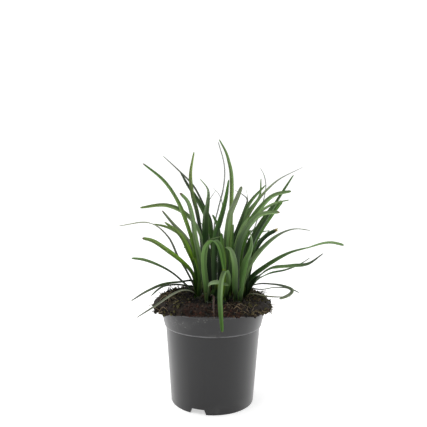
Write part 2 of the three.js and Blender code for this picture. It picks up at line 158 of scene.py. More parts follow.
class Shader:
    """One material, or one world, and its nodes."""

    def __init__(self, name: str, world: bool = False) -> None:
        """Starts an empty material or world.

        Args:
            name: Its name.
            world: True for a world.
        """
        self.material = (bpy.data.worlds if world else bpy.data.materials).new(name)
        self.material.use_nodes = True
        self.tree = self.material.node_tree
        self.tree.nodes.clear()

    def node(
        self,
        kind: str,
        settings: dict[str, object] | None = None,
        sockets: dict[int | str, Value] | None = None,
        output: int | str = 0,
    ) -> Socket:
        """Adds one node.

        Args:
            kind: The node's type.
            settings: Its properties, which are set first.
            sockets: The value or link of each of its inputs that is set.
            output: The output to return.

        Returns:
            The output, ready for more sums.
        """
        made = self.tree.nodes.new(kind)
        for key, value in (settings or {}).items():
            setattr(made, key, value)
        for key, value in (sockets or {}).items():
            if isinstance(value, Socket):
                self.tree.links.new(value.link, made.inputs[key])
            else:
                made.inputs[key].default_value = value
        return Socket(self, made.outputs[output] if made.outputs else None)

    def attribute(self, name: str, output: str = "Fac") -> Socket:
        """Reads one of the mesh's own values at each point."""
        return self.node("ShaderNodeAttribute", {"attribute_name": name}, output=output)

    def place(self) -> Socket:
        """The point on the object, in metres."""
        return self.node("ShaderNodeTexCoord", output="Object")

    def stretched(self, vector: Socket, scale: Point) -> Socket:
        """Scales a vector along each of its axes."""
        return self.node("ShaderNodeVectorMath", {"operation": "MULTIPLY"}, {0: vector, 1: scale})

    def noise(self, vector: Socket, scale: float, detail: float = 3, roughness: float = 0.55) -> Socket:
        """Cloudy noise about 0.5.

        Args:
            vector: The place to read it at.
            scale: How many clouds there are to a unit.
            detail: How many finer layers it holds.
            roughness: How strong the finer layers are.

        Returns:
            The noise's height.
        """
        sockets = {"Vector": vector, "Scale": scale, "Detail": detail, "Roughness": roughness}
        return self.node("ShaderNodeTexNoise", None, sockets)

    def openness_for_painted_shade(self, reach: float) -> Socket:
        """How open the air is within reach of the surface, from 0 in a tight gap to 1, for painting shade
        into a colour.
        """
        return self.node("ShaderNodeAmbientOcclusion", {"samples": 8}, {"Distance": reach}, output="AO")

    def mix(self, share: Value, low: Value, high: Value) -> Socket:
        """Mixes two colours.

        Args:
            share: How much of the second colour shows, from 0 to 1.
            low: The first colour.
            high: The second colour.

        Returns:
            The mixed colour.
        """
        sockets = {0: share, 6: self.opaque(low), 7: self.opaque(high)}
        return self.node("ShaderNodeMix", {"data_type": "RGBA"}, sockets, output=2)

    def tinted(self, colour: Value, light: Socket) -> Socket:
        """Makes a colour lighter or darker by a value around 1."""
        return self.node("ShaderNodeVectorMath", {"operation": "SCALE"}, {0: colour, "Scale": light})

    @staticmethod
    def opaque(colour: Value) -> Value:
        """Gives a plain colour its fourth number, and leaves a link as it is."""
        return colour if isinstance(colour, Socket) else (*colour, 1.0)

    def bump(self, height: Socket, depth: float, strength: float = 0.8) -> Socket:
        """Turns a height into a surface direction.

        Args:
            height: The relief, where 1 stands a full depth above 0.
            depth: That full depth, in metres.
            strength: How much of it is used.

        Returns:
            The surface direction.
        """
        return self.node("ShaderNodeBump", None, {"Height": height, "Distance": depth, "Strength": strength})

    def surface(self, sockets: dict[str, Value]) -> bpy.types.Material:
        """Closes the material with a Principled shader.

        Args:
            sockets: The value or link of each of its inputs that is set.

        Returns:
            The finished material.
        """
        shine = self.node("ShaderNodeBsdfPrincipled", None, sockets)
        self.node("ShaderNodeOutputMaterial", None, {"Surface": shine})
        return self.material


# ---- Finishes ----


@dataclass(frozen=True)
class PotPlastic:
    """Satin dark grey moulded plastic, with flow streaks, handling dust, and paler edges at the step and rim
    that are partly wear and partly painted highlight.
    """

    colour: Colour = (0.0065, 0.0065, 0.0075)
    # The pale grey of the painted highlight and of the wear at the step and rim.
    highlight_and_wear: Colour = (0.150, 0.150, 0.156)
    dust: Colour = (0.34, 0.33, 0.31)
    gloss: float = 0.33
    coat_gloss: float = 0.36
    refraction: float = 1.33
    relief: float = 0.05 * MM
    flow_scale: float = 150
    flow_stretch: Point = (1, 1, 0.06)
    cloud_scale: float = 26
    grain_scale: float = 1400
    wear_scale: float = 90
    speck_scale: float = 520
    patch_scale: float = 38
    step_highlight_band: Range = (1.1 * MM, 0.4 * MM)
    rim_highlight_band: Range = (1.2 * MM, 0.2 * MM)
    collar_blend: float = 1 * MM
    dusty_foot: float = 16 * MM

    def material(self, pot: Pot) -> bpy.types.Material:
        """Makes the pot's finish.

        Args:
            pot: The pot, for the heights of its step and rim.

        Returns:
            The finished material.
        """
        shader = Shader("pot_plastic")
        place = shader.place()
        height = shader.node("ShaderNodeSeparateXYZ", None, {0: place}, output="Z")
        streaks = shader.noise(shader.stretched(place, self.flow_stretch), self.flow_scale, 4, 0.6)
        clouds = shader.noise(place, self.cloud_scale)
        grain = shader.noise(place, self.grain_scale, 2)
        colour = shader.tinted(self.colour, 0.72 + 0.34 * streaks + 0.3 * clouds)

        # Partly wear and partly painted highlight: the step's edge and the top of the rim are paler in
        # patches.
        step = (height - pot.step_height).size().step(*self.step_highlight_band)
        rim = height.step(*(pot.height - below for below in self.rim_highlight_band))
        painted_highlight_and_wear = (step + 0.6 * rim) * shader.noise(place, self.wear_scale, 2).step(0.15, 0.55)
        colour = shader.mix(0.85 * painted_highlight_and_wear, colour, self.highlight_and_wear)

        # The collar is made a touch paler than the wall.
        collar = height.step(pot.step_height - self.collar_blend, pot.step_height + self.collar_blend)
        colour = shader.mix(0.02 * collar, colour, self.highlight_and_wear)
        low = height.step(self.dusty_foot, 0)
        specks = shader.noise(place, self.speck_scale, 2, 0.7).step(0.62, 0.70)
        patches = shader.noise(place, self.patch_scale).step(0.50, 0.66)
        film = patches * (0.05 * collar + 0.06 * low) + 0.80 * specks * patches * collar
        colour = shader.mix(film, colour, self.dust)

        return shader.surface({
            "Base Color": colour,
            "Roughness": self.gloss + 0.10 * streaks + 0.10 * clouds + 0.25 * film,
            "Normal": shader.bump(0.6 * grain + 0.8 * streaks + 1.6 * clouds, self.relief, 0.6),
            "IOR": self.refraction,
            "Coat Weight": 1.0,
            "Coat IOR": self.refraction,
            "Coat Roughness": self.coat_gloss,
        })


@dataclass(frozen=True)
class SoilFinish:
    """Moist peat, bark and fibre: dull, with each crumb its own shade."""

    name: str = "potting_soil"
    fine_scale: float = 900
    patch_scale: float = 160
    dullness: float = 0.92
    sheen: float = 0.25
    relief: float = 0.35 * MM

    def material(self) -> bpy.types.Material:
        """Makes the finish, which is tinted by the mesh's own shades.

        Returns:
            The finished material.
        """
        shader = Shader(self.name)
        place = shader.place()
        fine = shader.noise(place, self.fine_scale, 4, 0.65)
        patches = shader.noise(place, self.patch_scale)
        return shader.surface({
            "Base Color": shader.tinted(shader.attribute(TINT, "Color"), 0.10 + 0.9 * fine + 0.5 * patches),
            "Roughness": self.dullness - 0.25 * fine.step(0.55, 0.8),
            "Normal": shader.bump(fine + 0.8 * patches, self.relief),
            "Specular IOR Level": self.sheen,
        })


@dataclass(frozen=True)
class LeafFinish:
    """A strap leaf: lengthwise veins, a grooved midrib, pale margins, a pale sheath and scorched tips.

    Its scales run across the leaf, along it and from leaf to leaf. Its colour also holds painted shade, in
    the midrib's groove and where leaves crowd together, and one half of each blade painted lighter as if lit.
    """

    sheath: Colour = (0.40, 0.46, 0.15)
    scorch: Colour = (0.155, 0.120, 0.058)
    margin: Colour = (0.26, 0.38, 0.12)
    bloom: Colour = (0.30, 0.36, 0.26)
    streak_scale: Point = (7, 14, 9)
    band_scale: Point = (1.7, 12, 7)
    cloud_scale: Point = (0.8, 40, 5)
    veins: float = 11
    vein_depth: float = 0.07 * MM
    # How wide the midrib's groove is, as a share of the half width, for its bump and its painted shade.
    midrib: float = 0.16
    # How soft the line is between the blade's painted lighter half and its darker half.
    fold: float = 0.12
    edge: Range = (0.86, 0.99)
    sheath_reach: Range = (26 * MM, 10 * MM)
    # How far round a leaf the crowding is felt that paints shade into its colour.
    painted_shade_reach: float = 16 * MM
    gloss: float = 0.40
    sheen: float = 0.22
    glow: float = 0.06
    glow_colour: Colour = (0.35, 1.0, 0.12)
    glow_depth: float = 0.9 * MM

    def material(self) -> bpy.types.Material:
        """Makes the finish, which reads each leaf's own tint, length and dryness from the mesh.

        Returns:
            The finished material.
        """
        shader = Shader("leaf_blade")
        across, from_root, under, dry, serial = (
            shader.attribute(name) for name in ("across", "from_root", "under", "dry", "serial")
        )
        flat = shader.node("ShaderNodeCombineXYZ", None, {0: across, 1: from_root, 2: serial})
        streaks = shader.noise(shader.stretched(flat, self.streak_scale), 1, 4, 0.6)
        bands = shader.noise(shader.stretched(flat, self.band_scale), 1, 2)
        clouds = shader.noise(shader.stretched(flat, self.cloud_scale), 1)
        ribs = (across * (self.veins * math.pi)).cosine()
        middle = across.size().step(self.midrib, 0.0)
        edge = across.size().step(*self.edge)
        # Painted light: one half of each blade is painted lighter than the other, as if light fell on that
        # side of its fold.
        painted_lit_half = across.step(-self.fold, self.fold)

        light = 0.50 * streaks + 0.75 * bands + 0.40 * clouds + 0.14 * ribs + 0.42 * painted_lit_half - 0.06
        # Painted shade: the upper face is darker along the midrib's groove.
        light = light - 0.25 * middle * (1 - under)
        # Painted shade: the colour is darkened where other leaves crowd close round it.
        light = light * (0.26 + 0.84 * shader.openness_for_painted_shade(self.painted_shade_reach))
        colour = shader.tinted(shader.attribute(TINT, "Color"), light)
        colour = shader.mix(0.05 * under, colour, self.bloom)
        colour = shader.mix(0.32 * edge, colour, self.margin)
        pale = from_root.step(*self.sheath_reach) * (1 - 0.6 * dry)
        colour = shader.mix(0.38 * pale * edge * (0.4 + streaks), colour, self.sheath)
        parched = dry * (0.55 + 0.9 * streaks)
        colour = shader.mix(parched.step(0.25, 0.75), colour, self.scorch)

        relief = 0.5 * ribs - 1.2 * middle * (1 - 2 * under) + 0.5 * streaks
        return shader.surface({
            "Base Color": colour,
            "Roughness": self.gloss + 0.12 * streaks + 0.3 * dry + 0.08 * under,
            "Normal": shader.bump(relief, self.vein_depth),
            "Specular IOR Level": self.sheen,
            "Subsurface Weight": self.glow,
            "Subsurface Radius": self.glow_colour,
            "Subsurface Scale": self.glow_depth,
        })


@dataclass(frozen=True)
class StudioWhite:
    """The plain pale floor, which glows a little so that it stays nearly as light as the air behind it."""

    colour: Colour = (0.78, 0.78, 0.78)
    glow: float = 0.58
    mottle_scale: float = 9
    roughness: float = 0.7
    sheen: float = 0.1

    def material(self) -> bpy.types.Material:
        """Makes the floor's finish, with a faint mottle.

        Returns:
            The finished material.
        """
        shader = Shader("studio_white")
        mottle = shader.noise(shader.place(), self.mottle_scale, 2)
        return shader.surface({
            "Base Color": shader.tinted(self.colour, 0.98 + 0.04 * mottle),
            "Roughness": self.roughness,
            "Emission Color": (1.0, 1.0, 1.0, 1.0),
            "Emission Strength": self.glow,
            "Specular IOR Level": self.sheen,
        })


# ---- Meshes ----


@dataclass
class Draft:
    """The points, faces and point values of a piece, gathered before its mesh is made."""

    points: list[np.ndarray] = field(default_factory=list)
    faces: list[tuple[int, ...]] = field(default_factory=list)
    values: dict[str, list[np.ndarray]] = field(default_factory=dict)
    count: int = 0

    def add(self, points: np.ndarray, faces: Iterable[Sequence[int]], **values: object) -> None:
        """Adds one body to the piece.

        Args:
            points: The body's points.
            faces: Its faces, as indices into its own points.
            **values: A value, or one for each point, under each name that the finish reads.
        """
        self.points.append(np.asarray(points, float))
        self.faces.extend(tuple(self.count + i for i in face) for face in faces)
        for name, value in values.items():
            shape = (len(points), 3) if name == TINT else (len(points),)
            self.values.setdefault(name, []).append(np.broadcast_to(np.asarray(value, float), shape))
        self.count += len(points)

    def piece(self, name: str, material: bpy.types.Material | None, smooth: bool = True) -> bpy.types.Object:
        """Makes the mesh object.

        Args:
            name: The piece's name.
            material: Its finish.
            smooth: True if its faces are shaded as one soft surface.

        Returns:
            The new object, linked to the scene.
        """
        mesh = bpy.data.meshes.new(name)
        mesh.from_pydata(np.concatenate(self.points).tolist(), [], self.faces)
        for key, parts in self.values.items():
            value = np.concatenate(parts)
            if key == TINT:
                layer = mesh.attributes.new(key, "FLOAT_COLOR", "POINT")
                layer.data.foreach_set("color", np.c_[value, np.ones(len(value))].ravel())
            else:
                layer = mesh.attributes.new(key, "FLOAT", "POINT")
                layer.data.foreach_set("value", value)
        mesh.polygons.foreach_set("use_smooth", [smooth] * len(mesh.polygons))
        mesh.materials.append(material)
        mesh.update()
        made = bpy.data.objects.new(name, mesh)
        bpy.context.scene.collection.objects.link(made)
        return made


def level_ring(
    around: int, radius: float | np.ndarray, height: float, x: float = 0, y: float = 0
) -> np.ndarray:
    """A level ring of points.

    Args:
        around: How many points it has.
        radius: Its radius, or one for each point.
        height: How high it lies.
        x: Its centre's place across.
        y: Its centre's place from front to back.

    Returns:
        The points.
    """
    angles = np.arange(around) * 2 * math.pi / around
    return np.c_[x + radius * np.cos(angles), y + radius * np.sin(angles), np.full(around, height)]


def grid_faces(rings: int, around: int, capped: bool = False) -> list[tuple[int, ...]]:
    """The faces between rings of points that follow each other.

    Args:
        rings: How many rings there are.
        around: How many points each ring has.
        capped: True if a face closes the first ring, and another the last.

    Returns:
        The indices of each face's corners.
    """
    faces = []
    for ring in range(rings - 1):
        here = ring * around
        for i in range(around):
            j = (i + 1) % around
            faces.append((here + i, here + j, here + around + j, here + around + i))
    if capped:
        last = (rings - 1) * around
        faces += [tuple(range(around))[::-1], tuple(range(last, last + around))]
    return faces


def pointed_faces(rings: int, around: int) -> list[tuple[int, ...]]:
    """The faces of rings that end in one last point, with a face that closes the first ring.

    Args:
        rings: How many rings there are, without the point.
        around: How many points each ring has.

    Returns:
        The indices of each face's corners.
    """
    tip = rings * around
    last = tip - around
    fan = [(last + i, last + (i + 1) % around, tip) for i in range(around)]
    return [*grid_faces(rings, around), *fan, tuple(range(around))[::-1]]


def curve_through(points: Sequence[Point], samples: int = 40) -> np.ndarray:
    """A smooth curve through given points, which bends least where they are close.

    Args:
        points: The points, from first to last.
        samples: How many steps it takes from one point to the next.

    Returns:
        The points of the curve.
    """
    knots = [np.asarray(p, float) for p in points]
    knots = [2 * knots[0] - knots[1], *knots, 2 * knots[-1] - knots[-2]]
    curve = []
    for p0, p1, p2, p3 in zip(knots, knots[1:], knots[2:], knots[3:]):
        d0, d1, d2 = (math.sqrt(np.linalg.norm(b - a)) for a, b in ((p0, p1), (p1, p2), (p2, p3)))
        leave = ((p1 - p0) / d0 - (p2 - p0) / (d0 + d1) + (p2 - p1) / d1) * d1
        arrive = ((p2 - p1) / d1 - (p3 - p1) / (d1 + d2) + (p3 - p2) / d2) * d1
        for t in np.arange(samples) / samples:
            square, cube = t * t, t * t * t
            curve.append(
                p1 + leave * t + (3 * (p2 - p1) - 2 * leave - arrive) * square
                + (2 * (p1 - p2) + leave + arrive) * cube
            )
    curve.append(knots[-2])
    return np.array(curve)


def along_curve(curve: np.ndarray, shares: np.ndarray) -> tuple[np.ndarray, np.ndarray, float]:
    """Reads a curve at shares of its length.

    Args:
        curve: The curve's points.
        shares: The places to read, from 0 to 1.

    Returns:
        The places, the directions there, and the curve's length.
    """
    steps = np.linalg.norm(np.diff(curve, axis=0), axis=1)
    length = np.r_[0, np.cumsum(steps)]
    at = shares * length[-1]
    places = np.stack([np.interp(at, length, curve[:, k]) for k in range(3)], 1)
    slopes = np.gradient(curve, length, axis=0)
    headings = np.stack([np.interp(at, length, slopes[:, k]) for k in range(3)], 1)
    return places, headings / np.linalg.norm(headings, axis=1)[:, None], float(length[-1])


# ---- Leaves ----


class Tone(Enum):
    """The leaves' colours, new or old, with painted shade and light: the darkest tones stand for leaves and
    leaf bases in shade, and the palest and most vivid partly for light on lit leaves.
    """

    VIVID = (0.128, 0.255, 0.006)
    LIME = (0.240, 0.380, 0.030)
    MOSS = (0.042, 0.120, 0.007)
    MID = (0.060, 0.140, 0.022)
    GREEN = (0.098, 0.195, 0.044)
    SAGE = (0.160, 0.255, 0.095)
    OLIVE = (0.170, 0.255, 0.070)
    LIGHT = (0.240, 0.330, 0.105)
    FERN = (0.030, 0.084, 0.012)
    DARK = (0.017, 0.050, 0.009)
    BLACK = (0.009, 0.020, 0.007)
    DEEP = (0.020, 0.042, 0.038)
    ASH = (0.150, 0.185, 0.105)
    SHADE = (0.034, 0.055, 0.025)
    GREY = (0.185, 0.200, 0.155)
    CLAY = (0.170, 0.165, 0.105)
    PALE = (0.290, 0.310, 0.220)
    LILAC = (0.225, 0.235, 0.215)
    STRAW = (0.380, 0.320, 0.150)
    RUST = (0.040, 0.010, 0.006)


class End(Enum):
    """How wide a leaf stays just before its tip, as a part of its full width."""

    POINTED = 0.30
    BLUNT = 0.55
    CUT = 0.78


class Tip(Enum):
    """How a leaf ends: the length that has dried there, in millimetres."""

    GREEN = 0.5
    BROWN = 2.2
    TORN = 3.0


@dataclass
class Leaf:
    """One strap leaf.

    It has its full width, how it ends, how far it is rolled and its tone at its root, middle and tip, which
    paint in its shade and light as well as its own colour, and the points that its midrib passes through.
    """

    width: float
    end: End
    turns: Triple
    tones: tuple[Tone, Tone, Tone]
    route: Sequence[Point]
    tip: Tip = Tip.GREEN


@dataclass
class BladeShape:
    """The form that every leaf shares: a shallow channel with a keel, widest before its middle.

    Lengths are in metres, angles in degrees, and places along or across the leaf are shares.
    """

    thickness: float = 0.50 * MM
    edge_thickness: float = 0.10 * MM
    keel: float = 0.30 * MM
    keel_width: float = 0.16
    groove: float = 0.12 * MM
    groove_width: float = 0.14
    channel: float = 0.17
    fold: float = 1.15
    spacing: float = 3.2 * MM
    fewest_rings: int = 16
    half_section: int = 11
    root_width: float = 0.85
    full_width_from: float = 0.3
    taper_from: float = 0.6
    taper_power: float = 2.3
    tip_thinning: float = 0.6
    thin_below: float = 1.2 * MM
    root_depth: float = 8 * MM
    root_offset: float = 2 * MM
    neck_offset: float = 3.2 * MM
    neck_rise: float = 3.5 * MM
    tip_length: float = 3.2 * MM
    tip_rings: Sequence[float] = (0.72, 0.48, 0.28, 0.13, 0.04)
    turn_wave: float = 3
    edge_ripple: float = 0.025
    tone_places: Triple = (0.22, 0.55, 0.9)
    old_leaf_dryness: float = 0.25
    fray_leans: Sequence[float] = (-0.9, -0.35, 0.15, 0.7)
    fray_rise: Range = (-0.2, 0.5)
    fray_length: Range = (3.4, 5.6)
    fray_width: Range = (0.6, 1.0)
    fray_thickness: float = 0.15
    fray_colour: Colour = (0.62, 0.50, 0.12)
    fray_draws: int = 500

    def widths(self, shares: np.ndarray, length: float, end: End) -> np.ndarray:
        """The width at shares of a leaf's length, as parts of its full width.

        Args:
            shares: The places along the leaf.
            length: The leaf's length.
            end: How the leaf ends.

        Returns:
            The width there, down to nothing at the tip.
        """
        opening = lerp(self.root_width, 1, smooth_step(shares, 0, self.full_width_from))
        closing = np.clip((shares - self.taper_from) / (1 - self.taper_from), 0, 1)
        left = np.clip((1 - shares) * length / self.tip_length, 0, 1)
        rounding = np.sqrt(np.clip(1 - (1 - left) ** 2, 0, 1))
        return opening * lerp(1, end.value, closing ** self.taper_power) * rounding

    def midrib(self, crown: tuple[float, float], level: float, route: Sequence[Point]) -> np.ndarray:
        """The leaf's middle line, from inside the soil to its tip.

        Args:
            crown: Where the shoot stands, in metres.
            level: The soil's height, in metres.
            route: The points that the leaf passes through, in metres.

        Returns:
            The points of the line.
        """
        away = np.array(route[0][:2]) - np.array(crown)
        away = away / np.linalg.norm(away)
        root = (*(np.array(crown) + away * self.root_offset), level - self.root_depth)
        neck = (*(np.array(crown) + away * self.neck_offset), level + self.neck_rise)
        return curve_through([root, neck, *route])

    def section(self) -> tuple[np.ndarray, np.ndarray]:
        """The leaf's section before it is folded: over its grooved face, and back under its keel.

        Returns:
            Each point's share of the half width and its height, and 1 for each point that lies under.
        """
        across = np.sin(np.linspace(-1, 1, self.half_section) * math.pi / 2)
        thick = self.thickness * (1 - np.abs(across) ** 3) + self.edge_thickness
        groove = self.groove * np.exp(-((across / self.groove_width) ** 2))
        ridge = self.keel * np.exp(-((across / self.keel_width) ** 2))
        over = np.c_[across, thick / 2 - groove]
        below = np.c_[across, -thick / 2 - ridge][::-1][1:-1]
        return np.r_[over, below], np.r_[np.zeros(len(over)), np.ones(len(below))]

    def directions(
        self, curve: np.ndarray, along: np.ndarray, shares: np.ndarray, turns: Triple, rng: random.Random
    ) -> tuple[np.ndarray, np.ndarray]:
        """The leaf's sideways and upward directions, rolled by its turns and by a slight wave.

        Args:
            curve: The leaf's middle line.
            along: Its direction at each ring.
            shares: Each ring's place along it.
            turns: Its roll at its root, middle and tip.
            rng: The leaf's own draws.

        Returns:
            The direction across it and the direction up from it, at each ring.
        """
        chord = curve[-1] - curve[0]
        side = np.array([-chord[1], chord[0], 0])
        side = side / np.linalg.norm(side)
        across = side - along * (along @ side)[:, None]
        across /= np.linalg.norm(across, axis=1)[:, None]
        up = np.cross(along, across)
        most = self.turn_wave
        wave = sum(
            rng.uniform(-most, most) * np.sin(shares * rng.uniform(6, 17) + rng.uniform(0, 6))
            for _ in range(2)
        )
        turn = np.radians(np.interp(shares, (0, 0.5, 1), turns) + wave)[:, None]
        return across * np.cos(turn) + up * np.sin(turn), up * np.cos(turn) - across * np.sin(turn)

    def build(self, draft: Draft, leaf: Leaf, crown: tuple[float, float], level: float, serial: int) -> None:
        """Adds one leaf to a shoot.

        Args:
            draft: The shoot that it grows from.
            leaf: The leaf to add.
            crown: Where the shoot stands, in metres.
            level: The soil's height, in metres.
            serial: The leaf's number, which gives it its own small faults.
        """
        rng = random.Random(serial)
        route = [tuple(c * MM for c in p) for p in leaf.route]
        curve = self.midrib(crown, level, route)
        length = along_curve(curve, np.array([0.0]))[2]
        body_rings = max(self.fewest_rings, round(length / self.spacing))
        body = np.linspace(0, 1 - self.tip_length / length, body_rings)
        shares = np.r_[body, 1 - self.tip_length / length * np.array(self.tip_rings)]
        centre, along, _ = along_curve(curve, shares)
        across, up = self.directions(curve, along, shares, leaf.turns, rng)

        ripple = 1 + self.edge_ripple * np.sin(shares * rng.uniform(20, 34) + rng.uniform(0, 6))
        half = leaf.width * MM / 2 * self.widths(shares, length, leaf.end) * ripple
        section, under = self.section()
        thin = (lerp(1, self.tip_thinning, shares) * np.minimum(1, half / self.thin_below))[:, None]
        lift = 2 * half[:, None] * self.channel * np.abs(section[None, :, 0]) ** self.fold
        sideways = half[:, None] * section[None, :, 0]
        upwards = lift + section[None, :, 1] * thin
        points = centre[:, None] + across[:, None] * sideways[..., None] + up[:, None] * upwards[..., None]

        around = len(section)
        # Which half of the blade gets the painted lighter shade.
        painted_lit_side = rng.choice((-1, 1))
        dried = leaf.tip.value * MM * rng.uniform(0.7, 1.3)
        dry = 1 - smooth_step((1 - shares) * length, dried * 0.5, dried * 1.6)
        if leaf.tones[0] in (Tone.RUST, Tone.STRAW):
            dry = np.maximum(dry, self.old_leaf_dryness)
        tones = np.array([tone.value for tone in leaf.tones])
        tint = np.stack([np.interp(shares, self.tone_places, tones[:, k]) for k in range(3)], 1)
        tint = tint * rng.uniform(0.94, 1.06)

        def spread(per_ring: np.ndarray) -> np.ndarray:
            """Gives a ring's value to each of its points, and the last one to the tip."""
            return np.r_[np.repeat(per_ring, around, axis=0), per_ring[-1:]]

        draft.add(
            np.r_[points.reshape(-1, 3), curve[-1:]],
            pointed_faces(len(shares), around),
            across=np.r_[np.tile(section[:, 0] * painted_lit_side, len(shares)), 0.0],
            under=np.r_[np.tile(under, len(shares)), 0.5],
            from_root=spread(shares * length),
            dry=spread(dry),
            serial=serial,
            tint=spread(tint),
        )
        if leaf.tip is Tip.TORN:
            self.fray(draft, centre[-4], along[-4], across[-4], serial)

    def fray(
        self, draft: Draft, root: np.ndarray, along: np.ndarray, across: np.ndarray, serial: int
    ) -> None:
        """Splits a torn leaf's end into a few short dry slivers.

        Args:
            draft: The shoot that the leaf belongs to.
            root: Where the slivers start.
            along: The leaf's direction there.
            across: Its width's direction there.
            serial: The leaf's number.
        """
        rng = random.Random(serial + self.fray_draws)
        for lean in self.fray_leans:
            heading = along + across * lean + np.array([0, 0, rng.uniform(*self.fray_rise)])
            heading = heading / np.linalg.norm(heading)
            reach = rng.uniform(*self.fray_length) * MM
            wide = rng.uniform(*self.fray_width) * MM
            flat = np.cross(heading, np.array([0.0, 1.0, 0.0]))
            flat = flat / np.linalg.norm(flat)
            thin = np.cross(flat, heading) * self.fray_thickness * MM
            ring = [flat * wide, thin, -flat * wide, -thin]
            points = [root + r for r in ring]
            points += [root + heading * reach * 0.6 + r * 0.8 for r in ring]
            points.append(root + heading * reach)
            draft.add(
                np.array(points), pointed_faces(2, len(ring)),
                across=0, under=0, from_root=0.1, dry=0, serial=serial, tint=self.fray_colour,
            )


@dataclass(frozen=True)
class Scale:
    """One kind of scale at a shoot's foot: limits of its height, lean and width, its tones and its tip."""

    tall: Range
    lean: Range
    width: Range
    tones: Sequence[tuple[Tone, Tone, Tone]]
    tip: Tip


@dataclass
class Shoot:
    """One shoot: the leaves that grow from a crown, the short scales round them, and the crown itself.

    Its sizes are in millimetres and its angles in degrees.
    """

    name: str
    crown: tuple[float, float]
    leaves: Sequence[Leaf]
    back: tuple[int, Sequence[float]] = (1, ())
    back_reach: Range = (38, 66)
    back_crest: Range = (52, 88)
    back_tip: Range = (0.7, 1)
    back_width: Range = (4, 5.5)
    back_turns: Triple = (-15, 0, 15)
    back_tones: tuple[Tone, Tone, Tone] = (Tone.FERN, Tone.MID, Tone.GREEN)
    back_sway: float = 8
    draw_step: tuple[int, int, int] = (1664525, 1013904223, 4294967296)
    scale_kinds: Sequence[Scale] = (
        Scale(
            (9, 20), (0.8, 2.6), (3.4, 4.8),
            ((Tone.LIME, Tone.MOSS, Tone.MOSS), (Tone.MOSS, Tone.FERN, Tone.LIME)), Tip.GREEN,
        ),
        Scale(
            (6, 15), (2.5, 6), (1.4, 2.6),
            ((Tone.STRAW, Tone.RUST, Tone.RUST), (Tone.RUST, Tone.STRAW, Tone.STRAW)), Tip.BROWN,
        ),
    )
    scale_count: int = 5
    scale_sway: float = 25
    scale_foot: float = 3.6
    scale_head: float = 4.0
    scale_rise: float = 3.5
    crown_outline: Sequence[tuple[float, float]] = (
        (5.2, -9), (5.0, -2), (4.4, 0.5), (3.6, 1.8), (2.6, 2.4), (1.2, 2.7),
    )
    crown_sides: int = 20
    crown_lobes: int = 3
    crown_bulge: float = 0.08

    def back_leaves(self, level: float) -> list[Leaf]:
        """The leaves that arch away behind the crown, by the same draws as the solids they stand for.

        Args:
            level: The soil's height, in millimetres.

        Returns:
            One leaf for each bearing.
        """
        state, bearings = self.back
        factor, added, cycle = self.draw_step
        x, y = self.crown

        def draw() -> float:
            """The next of the repeatable numbers from 0 to 1."""
            nonlocal state
            state = (state * factor + added) % cycle
            return state / cycle

        leaves = []
        for degrees in bearings:
            bearing = math.radians(degrees + self.back_sway * (draw() - 0.5))
            reach = lerp(*self.back_reach, draw())
            crest = lerp(*self.back_crest, draw())
            tip = lerp(*self.back_tip, draw())
            width = lerp(*self.back_width, draw())
            away, behind = math.cos(bearing) * reach, math.sin(bearing) * reach
            route = [
                (x + away * share, y + behind * share, level + crest * rise)
                for share, rise in ((0.2, 0.5), (0.52, 0.93), (1, tip))
            ]
            leaves.append(Leaf(width, End.POINTED, self.back_turns, self.back_tones, route))
        return leaves

    def scales(self, level: float, rng: random.Random) -> list[Leaf]:
        """Short scales that wrap the foot of the shoot, in turn a broad green one and a narrow dry sliver.

        Args:
            level: The soil's height, in millimetres.
            rng: The shoot's own draws.

        Returns:
            The scales, as short leaves.
        """
        scales = []
        for i in range(self.scale_count):
            kind = self.scale_kinds[i % 2]
            sway = rng.uniform(-self.scale_sway, self.scale_sway)
            bearing = math.radians(360 / self.scale_count * i + sway)
            out = np.array([math.cos(bearing), math.sin(bearing)])
            tall, lean = rng.uniform(*kind.tall), rng.uniform(*kind.lean)
            foot = np.array(self.crown) + out * (self.scale_foot + lean * 0.3)
            head = np.array(self.crown) + out * (self.scale_head + lean)
            base = level + self.scale_rise
            route = [(*foot, base + tall * 0.45), (*head, base + tall)]
            tones = rng.choice(kind.tones)
            scales.append(Leaf(rng.uniform(*kind.width), End.POINTED, (0, 0, 0), tones, route, kind.tip))
        return scales

    def crown_body(self, draft: Draft, level: float, serial: int) -> None:
        """Adds the crown, a short stub with its foot in the soil.

        Args:
            draft: The shoot's mesh so far.
            level: The soil's height, in metres.
            serial: The crown's number.
        """
        around = self.crown_sides
        angles = np.arange(around) * 2 * math.pi / around
        lobes = 1 + self.crown_bulge * np.cos(self.crown_lobes * angles + serial)
        x, y = (c * MM for c in self.crown)
        rings = [
            level_ring(around, radius * MM * lobes, level + rise * MM, x, y)
            for radius, rise in self.crown_outline
        ]
        draft.add(
            np.concatenate(rings), grid_faces(len(rings), around, capped=True),
            across=0.3, under=0, from_root=0.05, dry=0.2, serial=serial, tint=Tone.SHADE.value,
        )

    def build(
        self, shape: BladeShape, level: float, finish: bpy.types.Material, serial: int
    ) -> bpy.types.Object:
        """Builds the shoot.

        Args:
            shape: The form that the leaves share.
            level: The soil's height, in metres.
            finish: The leaves' material.
            serial: The number of the shoot's first leaf.

        Returns:
            The piece that stands for the shoot's solid.
        """
        draft = Draft()
        crown = tuple(c * MM for c in self.crown)
        rng = random.Random(serial)
        grown = [*self.leaves, *self.back_leaves(level / MM), *self.scales(level / MM, rng)]
        for number, leaf in enumerate(grown):
            shape.build(draft, leaf, crown, level, serial + number)
        self.crown_body(draft, level, serial)
        piece = draft.piece(f"leaves_{self.name}", finish)
        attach(piece, BODY)
        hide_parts(self.name)
        return piece


def leaf(
    width: float, end: End, turns: Triple, tones: tuple[Tone, Tone, Tone], *route: Point, tip: Tip = Tip.GREEN
) -> Leaf:
    """Describes one leaf, with its width and its route in millimetres and its turns in degrees."""
    return Leaf(width, end, turns, tones, route, tip)


# A short name for the tones in the rows below.
T = Tone

